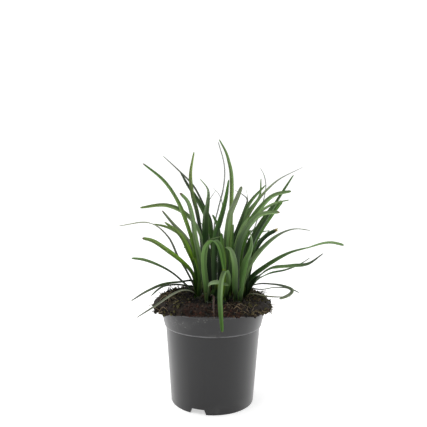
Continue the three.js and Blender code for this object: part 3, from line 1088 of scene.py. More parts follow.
SHOOTS = (
    Shoot("shoot_west", (-17, 3), (
        leaf(6, End.POINTED, (-80, -65, -60), (T.MOSS, T.VIVID, T.GREEN), (-22, 0, 167), (-30, -6, 197),
             (-41, -13, 225), (-55, -19, 246), (-76, -26, 264), tip=Tip.BROWN),
        leaf(5.4, End.POINTED, (-30, -20, -35), (T.DEEP, T.ASH, T.ASH), (-23, 11, 165), (-33, 16, 181),
             (-46, 21, 194), (-61, 28, 211), tip=Tip.BROWN),
        leaf(6, End.POINTED, (-80, -90, -75), (T.MID, T.VIVID, T.OLIVE), (-20, 2, 146), (-27, -2, 166),
             (-37, -7, 186), (-54, -13, 201)),
        leaf(4.6, End.POINTED, (0, 5, 25), (T.SHADE, T.GREY, T.PALE), (-31, 18, 140), (-42, 26, 156),
             (-55, 36, 179), (-77, 48, 194), (-119, 62, 189)),
        leaf(5.6, End.BLUNT, (-70, -65, -75), (T.MOSS, T.VIVID, T.OLIVE), (-24, -5, 143), (-33, -11, 155),
             (-51, -19, 171), (-66, -26, 182), (-76, -30, 185), tip=Tip.BROWN),
        leaf(4.2, End.BLUNT, (-20, -22, -60), (T.BLACK, T.SHADE, T.SAGE), (-33, 2, 130), (-46, -1, 142),
             (-61, -3, 151), (-78, -6, 158), (-91, -8, 160)),
        leaf(2.6, End.POINTED, (-25, -30, -35), (T.PALE, T.PALE, T.GREY), (-32, -13, 126), (-45, -24, 123),
             (-60, -33, 114), (-80, -44, 103)),
        leaf(4.5, End.POINTED, (60, 60, 50), (T.MOSS, T.MOSS, T.VIVID), (-15, -7, 141), (-18, -12, 156),
             (-21, -15, 163), (-23, -17, 160)),
    )),
    Shoot("shoot_north_west", (-9, 22), (
        leaf(6.4, End.POINTED, (-60, 5, 85), (T.SHADE, T.SAGE, T.OLIVE), (-13, 13, 169), (-20, 3, 194),
             (-33, -5, 210), (-52, -14, 219), (-79, -25, 217)),
        leaf(3, End.POINTED, (-20, -20, -25), (T.BLACK, T.SHADE, T.GREY), (-3, 38, 195), (-13, 47, 217),
             (-26, 58, 240), (-45, 67, 259), (-65, 74, 277)),
        leaf(5, End.POINTED, (-15, -25, -60), (T.SHADE, T.SHADE, T.LIGHT), (-15, 23, 178), (-20, 25, 209),
             (-26, 27, 232), (-28, 29, 254), (-24, 30, 280)),
        leaf(5.2, End.POINTED, (50, 55, 65), (T.DEEP, T.MID, T.OLIVE), (-23, 29, 162), (-31, 34, 175),
             (-45, 40, 184), (-58, 45, 190), (-74, 50, 193)),
        leaf(4.8, End.POINTED, (20, 45, 55), (T.DARK, T.SAGE, T.GREY), (-24, 20, 129), (-39, 18, 128),
             (-57, 15, 126), (-75, 11, 119), (-94, 8, 108)),
        leaf(4.2, End.POINTED, (20, 40, 40), (T.DARK, T.SHADE, T.SHADE), (-33, 28, 122), (-48, 31, 122),
             (-62, 35, 118), (-75, 38, 107)),
    ), (3, (100, 118))),
    Shoot("shoot_south_west", (-4, -17), (
        leaf(6.4, End.BLUNT, (-80, -65, -60), (T.MID, T.SAGE, T.SAGE), (-15, -16, 159), (-21, -18, 187),
             (-24, -20, 208), (-29, -21, 224), (-37, -22, 233), tip=Tip.BROWN),
        leaf(6, End.POINTED, (-15, -20, 10), (T.MID, T.SAGE, T.SAGE), (-10, -25, 153), (-9, -30, 171),
             (-4, -36, 184), (7, -42, 189)),
        leaf(6, End.BLUNT, (-15, -5, 20), (T.MID, T.GREEN, T.MID), (-10, -31, 159), (-8, -39, 177),
             (0, -47, 185), (6, -54, 180), (11, -62, 158)),
        leaf(4.8, End.POINTED, (20, 60, 70), (T.SHADE, T.SAGE, T.SAGE), (-4, -36, 137), (4, -43, 141),
             (16, -52, 140)),
        leaf(2.6, End.POINTED, (-40, -35, -40), (T.RUST, T.RUST, T.RUST), (0, -44, 127), (0, -58, 121),
             (1, -70, 110), tip=Tip.BROWN),
    )),
    Shoot("shoot_centre", (3, 3), (
        leaf(6, End.BLUNT, (-45, -45, 10), (T.BLACK, T.MID, T.SHADE), (-3, 20, 187), (-11, 30, 208),
             (-22, 39, 226), (-32, 46, 240), (-42, 52, 257)),
        leaf(6.4, End.POINTED, (-60, -55, -40), (T.DARK, T.FERN, T.MOSS), (2, 0, 183), (7, -1, 201),
             (11, -2, 216), (14, -3, 231), (16, -4, 248)),
        leaf(6, End.BLUNT, (0, 0, 0), (T.BLACK, T.DARK, T.MID), (5, 4, 182), (4, 8, 194),
             (-2, 12, 208)),
        leaf(7.4, End.POINTED, (-40, -40, 35), (T.BLACK, T.DARK, T.SAGE), (-9, 7, 179), (-10, 13, 205),
             (-8, 17, 222), (-8, 20, 236), (-17, 24, 249)),
    )),
    Shoot("shoot_south", (12, -13), (
        leaf(5.2, End.BLUNT, (35, 10, 0), (T.MID, T.SAGE, T.MID), (17, -27, 139), (13, -37, 152),
             (9, -46, 146), (7, -60, 129), (9, -78, 99)),
        leaf(6.2, End.BLUNT, (-10, -30, -50), (T.DARK, T.GREEN, T.ASH), (13, -15, 167), (14, -23, 190),
             (17, -32, 212), (22, -37, 225), (28, -42, 241)),
        leaf(5, End.BLUNT, (-20, -20, 0), (T.VIVID, T.VIVID, T.MOSS), (11, -18, 165), (9, -23, 178),
             (8, -27, 191)),
        leaf(6.2, End.BLUNT, (-50, -45, -40), (T.DARK, T.MID, T.GREEN), (20, -17, 152), (25, -20, 174),
             (30, -23, 189), (39, -26, 202)),
    )),
    Shoot("shoot_south_east", (26, -17), (
        leaf(6.2, End.POINTED, (20, 25, 45), (T.FERN, T.GREEN, T.SAGE), (23, -24, 133), (23, -31, 152),
             (21, -37, 166), (17, -41, 176), (12, -44, 178)),
        leaf(4.6, End.POINTED, (30, 30, 20), (T.DARK, T.FERN, T.MID), (26, -10, 150), (24, -12, 165),
             (22, -13, 174), (19, -15, 182)),
        leaf(6, End.POINTED, (75, 30, -15), (T.SAGE, T.SAGE, T.GREY), (35, -14, 144), (45, -7, 161),
             (60, 1, 176), (77, 9, 187), (94, 15, 192), (112, 20, 190)),
        leaf(6, End.BLUNT, (80, 85, 50), (T.MOSS, T.MID, T.SAGE), (29, -11, 165), (38, -13, 199),
             (49, -15, 216), (64, -17, 231), (83, -18, 236)),
        leaf(6.6, End.BLUNT, (-55, -60, -50), (T.BLACK, T.DARK, T.SAGE), (25, -25, 162), (28.5, -31, 184),
             (38, -36, 202), (48.5, -42, 212), (67, -48, 215), tip=Tip.BROWN),
        leaf(7.8, End.POINTED, (-30, -30, 50), (T.MOSS, T.MOSS, T.GREEN), (31, -21, 143), (35, -24, 160),
             (40, -27, 172), (41, -29, 183), (38, -32, 195)),
    )),
    Shoot("shoot_east", (35, 0), (
        leaf(6, End.BLUNT, (80, 42, -58), (T.DARK, T.MID, T.SAGE), (40, -7, 136), (59, -13, 154),
             (81, -19, 168), (102, -25, 176), (123, -31, 182), (137, -34, 180)),
        leaf(6, End.POINTED, (60, -55, -55), (T.DARK, T.GREEN, T.SHADE), (51, 7, 137), (65, 11, 146),
             (90, 19, 148), (112, 25, 150), (130, 30, 162)),
        leaf(5, End.POINTED, (50, -40, -35), (T.GREEN, T.DARK, T.SHADE), (50, 13, 132), (64, 22, 138),
             (85, 31, 141), (103, 41, 146), (118, 48, 154)),
        leaf(3, End.POINTED, (10, 10, 0), (T.CLAY, T.CLAY, T.CLAY), (45, -11, 122), (55, -16, 121),
             (69, -17, 120), (86, -16, 121)),
        leaf(5.2, End.POINTED, (-70, -70, -65), (T.DARK, T.DARK, T.MID), (40, 4, 158), (48, 6, 184),
             (62, 8, 208), (74, 10, 228), (90, 12, 254)),
        leaf(6, End.CUT, (55, 50, 55), (T.DARK, T.MID, T.GREEN), (39, 12, 158), (48, 16, 179),
             (61, 21, 200), (79, 26, 224)),
        leaf(5.4, End.CUT, (70, 65, 70), (T.BLACK, T.DARK, T.DARK), (43, 17, 152), (51, 24, 171),
             (61, 29, 182), (74, 34, 189), tip=Tip.TORN),
        leaf(6, End.POINTED, (65, 60, 35), (T.BLACK, T.DARK, T.DARK), (38, 4, 125), (44, 7, 132),
             (54, 10, 139)),
        leaf(6.4, End.POINTED, (50, 50, 45), (T.BLACK, T.FERN, T.GREEN), (36, 13, 150), (38.5, 20, 167),
             (47, 24, 184), (54, 28, 195), (62.5, 32, 208), (72, 36, 221)),
    ), (7, (60,))),
    Shoot("shoot_centre_east", (19, 6), (
        leaf(4.8, End.POINTED, (-45, -50, -40), (T.MID, T.OLIVE, T.SAGE), (18, 9, 172), (19.5, 13, 211),
             (20, 17, 242), (19, 18, 257), (16.5, 19, 268), (13, 20, 279), (5, 22, 294)),
        leaf(4.8, End.POINTED, (60, 55, 60), (T.BLACK, T.DARK, T.SAGE), (24, 19, 167), (31, 23, 194),
             (41, 27, 220), (60, 30, 242)),
        leaf(5.4, End.POINTED, (35, 60, 30), (T.BLACK, T.SAGE, T.SAGE), (26, 4, 174), (35, 3, 198),
             (49, 1, 210), (66, 0, 221), (84, -1, 226)),
        leaf(6, End.POINTED, (40, 45, 30), (T.BLACK, T.BLACK, T.FERN), (26, -2, 150), (29, -4, 165),
             (33.5, -5, 177), (39.5, -6, 187), (46, -7, 196)),
    ), (9, (86,))),
    Shoot("shoot_north", (9, 26), (
        leaf(3.4, End.BLUNT, (65, 60, 50), (T.SHADE, T.LILAC, T.LILAC), (0, 41, 189), (5, 51, 214),
             (11, 61, 239), (12, 70, 265), (4, 78, 296)),
        leaf(3.2, End.POINTED, (65, 60, 50), (T.DARK, T.SHADE, T.SHADE), (7, 36, 192), (10, 40, 216),
             (7, 42, 228), (-2, 44, 239)),
        leaf(2.6, End.POINTED, (65, 65, 70), (T.GREY, T.PALE, T.LILAC), (-8, 52, 189), (-9, 66, 209),
             (-6, 78, 222), (2, 90, 234)),
        leaf(4.2, End.POINTED, (30, 20, -50), (T.BLACK, T.DARK, T.SHADE), (21, 33, 171), (29, 36, 191),
             (37, 40, 213), (40, 42, 225), (33, 44, 231), (24, 46, 236)),
    ), (11, (72, 96))),
    Shoot("shoot_north_east", (27, 23), (
        leaf(4.4, End.BLUNT, (10, 5, 55), (T.GREY, T.SHADE, T.ASH), (50, 16, 127), (65, 3, 130),
             (80, -11, 130), (86, -20, 128), (82, -26, 125), (70, -34, 122)),
        leaf(3.2, End.BLUNT, (-15, -18, -35), (T.LILAC, T.GREY, T.SHADE), (42, 22, 121), (56, 21, 120),
             (73, 28, 121), (92, 35, 118), (104, 40, 112)),
        leaf(2.8, End.POINTED, (-40, -40, -40), (T.GREY, T.LILAC, T.LILAC), (51, 58, 190), (61, 71, 217),
             (66, 80, 239), (64, 86, 254), (59, 90, 264)),
        leaf(4.2, End.POINTED, (25, 20, 10), (T.DARK, T.MID, T.SAGE), (32, 30, 190), (42, 40, 211),
             (55, 48, 228), (57, 54, 250)),
        leaf(4.4, End.POINTED, (50, 30, -15), (T.MID, T.OLIVE, T.LILAC), (36, 45, 191), (52, 54, 220),
             (65, 62, 235), (82, 71, 249), (113, 84, 265)),
        leaf(3.4, End.POINTED, (15, 10, 10), (T.DARK, T.SHADE, T.GREY), (45, 44, 154), (54, 51, 171),
             (69, 62, 185)),
        leaf(2.6, End.POINTED, (65, 65, 70), (T.SHADE, T.GREY, T.PALE), (38, 52, 190), (42, 66, 213),
             (42, 77, 227), (41, 86, 236)),
    ), (13, (52, 74, 94))),
)


# ---- Pot ----


@dataclass
class Pot:
    """The nursery pot: a tapered wall, a collar above a step, a rounded rim and a notched foot ring."""

    rim_radius: float
    height: float
    wall: float = 1.6 * MM
    sides: int = 192
    step_rise: float = 1 * MM
    foot_ring: float = 3.2 * MM
    floor_underside: float = 4.5 * MM
    pad_radius: float = 12 * MM
    draft: float = 0.8 * MM
    rim_band: float = 2 * MM
    rim_slope: float = 0.3 * MM
    flare: float = 0.86
    notch_count: int = 3
    notch_height: float = 5.6 * MM
    notch_widths: Range = (19 * MM, 14 * MM)
    notch_bearing: float = -109
    drain_count: int = 6
    drain_radius: float = 3.5 * MM
    drain_sides: int = 24
    drill_reach: Range = (-1 * MM, 12 * MM)
    corner: float = 0.45 * MM
    corner_faces: int = 4
    corner_limit: float = 2.5
    sharp_from: float = 38

    def __post_init__(self) -> None:
        """Works out the other sizes from the rim and the height."""
        self.base_radius = self.rim_radius * 0.773
        self.step_radius = self.rim_radius * 0.881
        self.collar_radius = self.rim_radius * 0.905
        self.drain_circle = self.rim_radius * 0.5
        self.step_height = self.height * 0.787
        self.floor_top = self.floor_underside + self.wall

    @classmethod
    def from_frame(cls) -> Pot:
        """Takes the rim's radius and the height from the frame."""
        low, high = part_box("pot")
        return cls(rim_radius=(high.x - low.x) / 2, height=high.z)

    def profile(self) -> list[Triple]:
        """The wall's outline, from the pad's edge underneath round to the inside.

        Returns:
            Each corner's radius, height and rounding.
        """
        foot_inside = self.base_radius - self.foot_ring
        step_foot = self.step_height - self.step_rise
        band_foot = self.height - self.rim_band
        soft, hard = self.corner, self.corner / 2
        low_wall = lerp(self.base_radius, self.step_radius, self.floor_top / self.step_height)
        return [
            (self.pad_radius, 0, hard),
            (self.pad_radius + self.draft, self.floor_underside, hard),
            (foot_inside - self.draft, self.floor_underside, hard),
            (foot_inside, 0, soft),
            (self.base_radius, 0, soft),
            (self.step_radius, step_foot, hard),
            (self.collar_radius, self.step_height, soft),
            (lerp(self.collar_radius, self.rim_radius, self.flare), band_foot - self.step_rise, hard),
            (self.rim_radius, band_foot, soft),
            (self.rim_radius - self.rim_slope, self.height, soft),
            (self.rim_radius - self.wall, self.height, soft),
            (self.collar_radius - self.wall, self.step_height, hard),
            (self.step_radius - self.wall, step_foot - self.step_rise, hard),
            (low_wall - self.wall, self.floor_top, hard),
        ]

    def rounded(self, outline: Sequence[Triple]) -> list[tuple[float, float]]:
        """Rounds an outline's corners.

        Args:
            outline: Each corner's radius, height and rounding.

        Returns:
            The outline as radius and height.
        """
        corners = [np.array(c[:2]) for c in outline]
        result = [tuple(corners[0])]
        for back, here, ahead, (_, _, reach) in zip(corners, corners[1:], corners[2:], outline[1:]):
            back, ahead = back - here, ahead - here
            before, after = np.linalg.norm(back), np.linalg.norm(ahead)
            near = min(reach, before / self.corner_limit, after / self.corner_limit)
            start = here + back / before * near
            end = here + ahead / after * near
            for step in range(self.corner_faces + 1):
                t = step / self.corner_faces
                result.append(tuple((1 - t) ** 2 * start + 2 * t * (1 - t) * here + t * t * end))
        return [*result, tuple(corners[-1])]

    def turned_body(self, finish: bpy.types.Material) -> bpy.types.Object:
        """Turns the wall, the foot ring and the floor as one closed body.

        Args:
            finish: The pot's material.

        Returns:
            The pot before its notches and drain holes.
        """
        rings = [level_ring(self.sides, radius, height) for radius, height in self.rounded(self.profile())]
        draft = Draft()
        draft.add(np.concatenate(rings), grid_faces(len(rings), self.sides, capped=True))
        return draft.piece("nursery_pot", finish)

    def notch(self, bearing: float) -> bpy.types.Object:
        """A wedge that is cut through the foot ring to let water out.

        Args:
            bearing: Its direction from the axis, in degrees from +X.

        Returns:
            The wedge, as an object to cut with.
        """
        inner = self.base_radius - 2 * self.foot_ring
        outer = self.base_radius * 1.2
        low, high = (width / 2 for width in self.notch_widths)
        base = self.drill_reach[0]
        outline = [(-low, base), (low, base), (high, self.notch_height), (-high, self.notch_height)]
        turn = Matrix.Rotation(math.radians(bearing), 3, "Z")
        points = [turn @ Vector((x, y, z)) for x in (inner, outer) for y, z in outline]
        faces = [(4, 5, 6, 7), (3, 2, 1, 0), (0, 1, 5, 4), (1, 2, 6, 5), (2, 3, 7, 6), (3, 0, 4, 7)]
        draft = Draft()
        draft.add(np.array(points), faces)
        return draft.piece("notch_cutter", None, smooth=False)

    def drain(self, bearing: float) -> bpy.types.Object:
        """A round drill for one of the drain holes.

        Args:
            bearing: Its direction from the axis, in radians.

        Returns:
            The drill, as an object to cut with.
        """
        x, y = self.drain_circle * math.cos(bearing), self.drain_circle * math.sin(bearing)
        rings = [level_ring(self.drain_sides, self.drain_radius, z, x, y) for z in self.drill_reach]
        draft = Draft()
        draft.add(np.concatenate(rings), grid_faces(2, self.drain_sides, capped=True))
        return draft.piece("drain_drill", None, smooth=False)

    def build(self, finish: bpy.types.Material) -> bpy.types.Object:
        """Builds the pot and cuts its notches and drain holes.

        Args:
            finish: The pot's material.

        Returns:
            The piece that stands for the pot's solid.
        """
        body = self.turned_body(finish)
        notches, drains = self.notch_count, self.drain_count
        cutters = [self.notch(self.notch_bearing + 360 / notches * i) for i in range(notches)]
        cutters += [self.drain(2 * math.pi * i / drains) for i in range(drains)]
        for cutter in cutters:
            cut = body.modifiers.new("cut", "BOOLEAN")
            cut.operation = "DIFFERENCE"
            cut.solver = "EXACT"
            cut.object = cutter
        graph = bpy.context.evaluated_depsgraph_get()
        cut_mesh = bpy.data.meshes.new_from_object(body.evaluated_get(graph))
        body.modifiers.clear()
        body.data = cut_mesh
        for cutter in cutters:
            bpy.data.objects.remove(cutter)
        body.data.set_sharp_from_angle(angle=math.radians(self.sharp_from))
        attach(body, BODY)
        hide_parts("pot")
        return body


# ---- Soil ----


class SoilTone(Enum):
    """The shades of the potting mix."""

    BLACK = (0.0045, 0.0038, 0.0030)
    PEAT = (0.010, 0.0075, 0.005)
    HUMUS = (0.028, 0.019, 0.011)
    BARK = (0.080, 0.050, 0.026)
    RED = (0.050, 0.018, 0.010)
    OLIVE = (0.082, 0.074, 0.024)
    STRAW = (0.330, 0.255, 0.150)

    def shade(self) -> np.ndarray:
        """The shade as an array."""
        return np.array(self.value)


@dataclass(frozen=True)
class Tuft:
    """A patch of fibres: its part of them all, its middle and its spread in millimetres, and its shades."""

    share: float
    middle: tuple[float, float]
    spread: tuple[float, float]
    tones: Sequence[SoilTone]


@dataclass
class Soil:
    """The potting soil: a mound of clods with litter on it, and a fringe that laps over the rim.

    The litter's sizes are in millimetres, its bearings in radians and its radii shares of the rim's.
    """

    pot: Pot
    gap: float = 0.3 * MM
    around: int = 320
    rings: int = 66
    ring_crowding: float = 0.9
    mound: float = 4.5 * MM
    mound_spread: float = 16 * MM
    front_mound: float = 0.7
    edge_fall: float = 3.5 * MM
    top_edge: float = 0.985
    fringe_side: float = 6 * MM
    fringe_lean: float = 0.22
    fringe_thickness: float = 0.8 * MM
    fringe_rows: int = 5
    drop_front: float = 0.5 * MM
    drop_side: float = 6.5 * MM
    hem_tuck: float = 0.975
    hem_lift: float = 0.2 * MM
    lump: float = 1.3 * MM
    clod: float = 1.5 * MM
    clod_scale: float = 230
    grit: float = 1.3 * MM
    grit_scale: float = 420
    tint_scale: float = 140

    crumbs: int = 2600
    crumb_shapes: int = 16
    crumb_sizes: Sequence[float] = (0.8, 1.1, 1.5, 2.2, 3.4)
    crumb_edge: float = 0.53
    crumb_roughness: float = 0.35
    on_fringe: float = 0.30
    left_chips: tuple[int, Range] = (60, (2.3, 3.2))
    right_chips: tuple[int, Range] = (30, (-0.1, 0.75))
    lying_chips: int = 100
    chip_radii: Range = (0.74, 0.98)
    chip_lengths: Sequence[float] = (3, 4, 5, 7, 11)
    lying_lengths: Range = (3, 8)
    chip_width: Range = (0.9, 2.3)
    chip_thickness: Range = (0.3, 0.8)
    chip_outline: Sequence[tuple[float, float]] = ((-0.5, 0.8), (0.1, 1.0), (0.5, 0.5))
    chip_slant: float = 0.18
    fibres: int = 420
    fibre_length: Range = (4, 14)
    fibre_thickness: Range = (0.2, 0.5)
    fibre_steps: int = 4
    tufts: Sequence[Tuft] = (
        Tuft(0.32, (48, 6), (9, 18), (SoilTone.OLIVE, SoilTone.BARK, SoilTone.STRAW)),
        Tuft(0.10, (32, -48), (9, 6), (SoilTone.STRAW, SoilTone.BARK, SoilTone.STRAW)),
        Tuft(0.28, (-52, -18), (7, 14), (SoilTone.BARK, SoilTone.STRAW, SoilTone.OLIVE)),
        Tuft(0.30, (0, 0), (34, 34), (SoilTone.HUMUS, SoilTone.BARK, SoilTone.PEAT)),
    )
    hairs: int = 30
    hair_bearings: Range = (-0.45, 0.35)
    hair_thickness: Range = (0.2, 0.34)

    tone_limits: Sequence[tuple[float, SoilTone]] = (
        (0.60, SoilTone.BLACK), (0.80, SoilTone.PEAT), (0.93, SoilTone.HUMUS), (1.00, SoilTone.BARK),
    )
    red_part: float = 0.30
    red_from: float = 0.45
    red_reach: float = 0.5
    olive_left: float = 0.18
    olive_right: float = 0.40
    olive_from: float = 0.40

    def __post_init__(self) -> None:
        """Works out the soil's own sizes from the pot's."""
        self.level = self.pot.height + 4.5 * MM
        self.mound_radius = self.pot.rim_radius * 0.85
        self.fall_from = self.pot.rim_radius * 0.88
        self.fringe_root = self.pot.rim_radius + self.gap
        self.underside = self.pot.height + self.gap

    def lumps(self, x: float, y: float) -> float:
        """The broad relief that the soil's solid has too, from waves that run across each other.

        Args:
            x: The place across the pot.
            y: The place from front to back.

        Returns:
            The relief's height.
        """
        x, y = x / MM, y / MM
        coarse = math.sin(x * 0.31 + 1.3) * math.sin(y * 0.27 - 0.4)
        fine = math.sin(x * 0.71 - y * 0.43) * math.cos(y * 0.83 + x * 0.22 + 2)
        return self.lump * (0.55 * coarse + 0.45 * fine)

    def clods(self, x: float, y: float, z: float = 0) -> float:
        """The fine relief: rounded clods with pits between them.

        Args:
            x: The place across the pot.
            y: The place from front to back.
            z: The place upwards.

        Returns:
            The relief's height.
        """
        at = Vector((x, y, z))
        near = noise.voronoi(at * self.clod_scale)[0][0]
        rough = noise.turbulence(at * self.grit_scale, 3, False)
        return self.clod * (0.45 - near) + self.grit * (rough - 0.5)

    def base_height(self, x: float, y: float) -> float:
        """The soil's height before its relief: a ring of a mound, lowest at front and back.

        Args:
            x: The place across the pot.
            y: The place from front to back.

        Returns:
            The height above the floor.
        """
        radius = math.hypot(x, y)
        sides = (x / radius) ** 2 if radius else 0
        ring = math.exp(-(((radius - self.mound_radius) / self.mound_spread) ** 2))
        mound = self.mound * ring * lerp(self.front_mound, 1, sides)
        fallen = smooth_step(radius, self.fall_from, self.pot.rim_radius + self.fringe_side)
        return self.level + mound - self.edge_fall * float(fallen)

    @staticmethod
    def lap(bearing: float) -> float:
        """How far the fringe laps over the rim: from 0 at the front to about 1 at the sides."""
        ragged = 0.07 * math.sin(bearing * 7 + 1) + 0.06 * math.sin(bearing * 13)
        return math.cos(bearing) ** 2 * (1 + ragged)

    def surface_point(self, x: float, y: float) -> Vector:
        """The point on the soil's top over a place on the plan."""
        return Vector((x, y, self.base_height(x, y) + self.lumps(x, y) + self.clods(x, y)))

    def polar_point(self, bearing: float, radius: float) -> Vector:
        """The point on the soil's top at a bearing and a distance from the axis."""
        return self.surface_point(radius * math.cos(bearing), radius * math.sin(bearing))

    def fringe_point(self, bearing: float, share: float) -> Vector:
        """A point on the outside of the fringe.

        Args:
            bearing: Its direction from the axis, in radians.
            share: How far down the fringe it lies, from 0 at its brow to 1 at its hem.

        Returns:
            The point.
        """
        edge = Vector((math.cos(bearing), math.sin(bearing), 0))
        lap = self.lap(bearing)
        ragged = noise.noise(Vector((bearing * 9, share * 2, 4.2)))
        side = self.fringe_side * (1 - self.fringe_lean * edge.x) * lap
        reach = self.fringe_root + self.fringe_thickness + side * (0.85 + 0.35 * ragged)
        reach *= lerp(self.top_edge, 1.0, math.sin(math.pi * share))
        brow = self.base_height(edge.x * reach, edge.y * reach) - self.drop_side / 4 * lap
        hem = self.underside - self.drop_front - self.drop_side * lap * (1 + 0.3 * ragged)
        rough = self.clods(edge.x * reach, edge.y * reach, share * 0.01)
        return edge * (reach + 0.8 * rough) + Vector((0, 0, lerp(brow, hem, share)))

    def tone_at(self, x: float, y: float, rng: random.Random) -> np.ndarray:
        """Picks a crumb's shade: redder at the front, more olive at the sides and most on the right.

        Args:
            x: The crumb's place across the pot.
            y: Its place from front to back.
            rng: The draws.

        Returns:
            The shade.
        """
        draw = rng.random()
        rim = self.pot.rim_radius
        front = y < -self.red_from * rim and abs(x) < self.red_reach * rim
        if front and draw < self.red_part:
            tone = SoilTone.RED
        elif abs(x) > self.olive_from * rim and draw < (self.olive_right if x > 0 else self.olive_left):
            tone = SoilTone.OLIVE
        else:
            tone = next(tone for limit, tone in self.tone_limits if draw < limit)
        return tone.shade() * rng.uniform(0.75, 1.3)

    def bed_tint(self, at: Vector) -> np.ndarray:
        """The shade of the soil's body: black to humus in patches, and redder at the front.

        Args:
            at: The point on it.

        Returns:
            The shade there.
        """
        patch = noise.noise(at * self.tint_scale)
        front = max(0.0, min(1.0, (-at.y / self.pot.rim_radius - 0.35) * 2))
        red = front * (1 if abs(at.x) < self.red_reach * self.pot.rim_radius else 0.4)
        base = lerp(SoilTone.BLACK.shade(), SoilTone.HUMUS.shade(), 0.35 + 0.6 * patch)
        return lerp(base, SoilTone.RED.shade(), 0.35 * red)

    def body(self, finish: bpy.types.Material) -> bpy.types.Object:
        """Builds the soil as one closed body, from its clods down to the plug that fills the pot.

        Args:
            finish: The soil's material.

        Returns:
            The piece that stands for the soil's solid.
        """
        pot, count = self.pot, self.around
        angles = [2 * math.pi * i / count for i in range(count)]
        inset = pot.wall + self.gap
        rings: list[list[Vector]] = []
        for ring in range(1, self.rings + 1):
            radius = pot.rim_radius * self.top_edge * (ring / self.rings) ** self.ring_crowding
            rings.append([self.polar_point(a, radius) for a in angles])
        for row in range(self.fringe_rows + 1):
            rings.append([self.fringe_point(a, row / self.fringe_rows) for a in angles])
        tuck = self.hem_tuck
        rings.append([Vector((p.x * tuck, p.y * tuck, p.z + self.hem_lift)) for p in rings[-1]])
        plug = (
            (self.fringe_root, self.underside),
            (pot.rim_radius - inset, self.underside),
            (pot.collar_radius - inset, pot.step_height + pot.step_rise),
            (pot.step_radius - inset, pot.step_height - 2 * pot.step_rise),
            (pot.base_radius - inset, pot.floor_top + self.gap),
        )
        for radius, height in plug:
            rings.append([Vector((radius * math.cos(a), radius * math.sin(a), height)) for a in angles])
        points = [self.surface_point(0, 0)] + [p for ring in rings for p in ring]
        faces = [(0, 1 + i, 1 + (i + 1) % count) for i in range(count)]
        faces += [tuple(1 + i for i in face) for face in grid_faces(len(rings), count)]
        faces.append(tuple(range(len(points) - count, len(points)))[::-1])
        draft = Draft()
        draft.add(np.array(points), faces, tint=np.array([self.bed_tint(p) for p in points]))
        piece = draft.piece("soil_bed", finish)
        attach(piece, BODY)
        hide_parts("soil")
        return piece

    def scatter(self, rng: random.Random) -> Vector:
        """Picks a place for a piece of litter, on the top or on the fringe.

        Args:
            rng: The draws.

        Returns:
            The place.
        """
        bearing = rng.uniform(0, 2 * math.pi)
        if rng.random() < self.on_fringe:
            return self.fringe_point(bearing, rng.uniform(0, 1))
        return self.polar_point(bearing, self.pot.rim_radius * math.sqrt(rng.uniform(0.02, 1.0)))

    def pebble(self, rng: random.Random) -> tuple[np.ndarray, list[tuple[int, int, int]]]:
        """A small uneven crumb of twenty faces, about one unit across.

        Args:
            rng: The draws.

        Returns:
            Its points and faces.
        """
        golden = (1 + math.sqrt(5)) / 2
        points = []
        for a in (-1, 1):
            for b in (-golden, golden):
                points += [(0, a, b), (a, b, 0), (b, 0, a)]
        points = np.array(points) / (2 * math.hypot(1, golden))
        faces = []
        # Three points that are all close to each other make a face.
        for i, j, k in itertools.combinations(range(len(points)), 3):
            sides = [np.linalg.norm(points[p] - points[q]) for p, q in ((i, j), (j, k), (i, k))]
            if max(sides) < self.crumb_edge:
                normal = np.cross(points[j] - points[i], points[k] - points[i])
                faces.append((i, j, k) if normal @ points[i] > 0 else (i, k, j))
        rough = self.crumb_roughness
        return points * np.array([[1 + rng.uniform(-rough, rough)] for _ in points]), faces

    def crumb_piece(self, finish: bpy.types.Material) -> bpy.types.Object:
        """Strews loose crumbs over the soil.

        Args:
            finish: Their material.

        Returns:
            All the crumbs as one piece.
        """
        rng = random.Random(21)
        shapes = [self.pebble(rng) for _ in range(self.crumb_shapes)]
        draft = Draft()
        for _ in range(self.crumbs):
            at = self.scatter(rng)
            points, faces = rng.choice(shapes)
            size = rng.choice(self.crumb_sizes) * rng.uniform(0.7, 1.25) * MM
            stretch = np.array([rng.uniform(0.7, 1.5), rng.uniform(0.7, 1.3), rng.uniform(0.5, 1.0)]) * size
            spin = np.array(Euler([rng.uniform(0, 6.28) for _ in range(3)]).to_matrix())
            draft.add((points * stretch) @ spin.T + np.array(at), faces, tint=self.tone_at(at.x, at.y, rng))
        return self.litter(draft.piece("soil_crumbs", finish, smooth=False))

    def chip_piece(self, finish: bpy.types.Material) -> bpy.types.Object:
        """Sets splinters of bark in the soil: upright ones at the left and right, and others lying anywhere.

        Args:
            finish: Their material.

        Returns:
            All the splinters as one piece.
        """
        rng = random.Random(33)
        draft = Draft()
        for count, bearings in (self.left_chips, self.right_chips):
            for _ in range(count):
                bearing = rng.uniform(*bearings)
                at = self.polar_point(bearing, self.pot.rim_radius * rng.uniform(*self.chip_radii))
                heading = Vector((rng.gauss(-0.1, 0.75), rng.gauss(0, 0.5), 1)).normalized()
                length = rng.choice(self.chip_lengths) * rng.uniform(0.8, 1.15) * MM
                self.splinter(draft, at, heading, length, rng)
        for _ in range(self.lying_chips):
            at = self.scatter(rng)
            heading = Vector((rng.gauss(0, 1), rng.gauss(0, 1), rng.gauss(0.1, 0.45))).normalized()
            self.splinter(draft, at, heading, rng.uniform(*self.lying_lengths) * MM, rng)
        return self.litter(draft.piece("bark_splinters", finish, smooth=False))

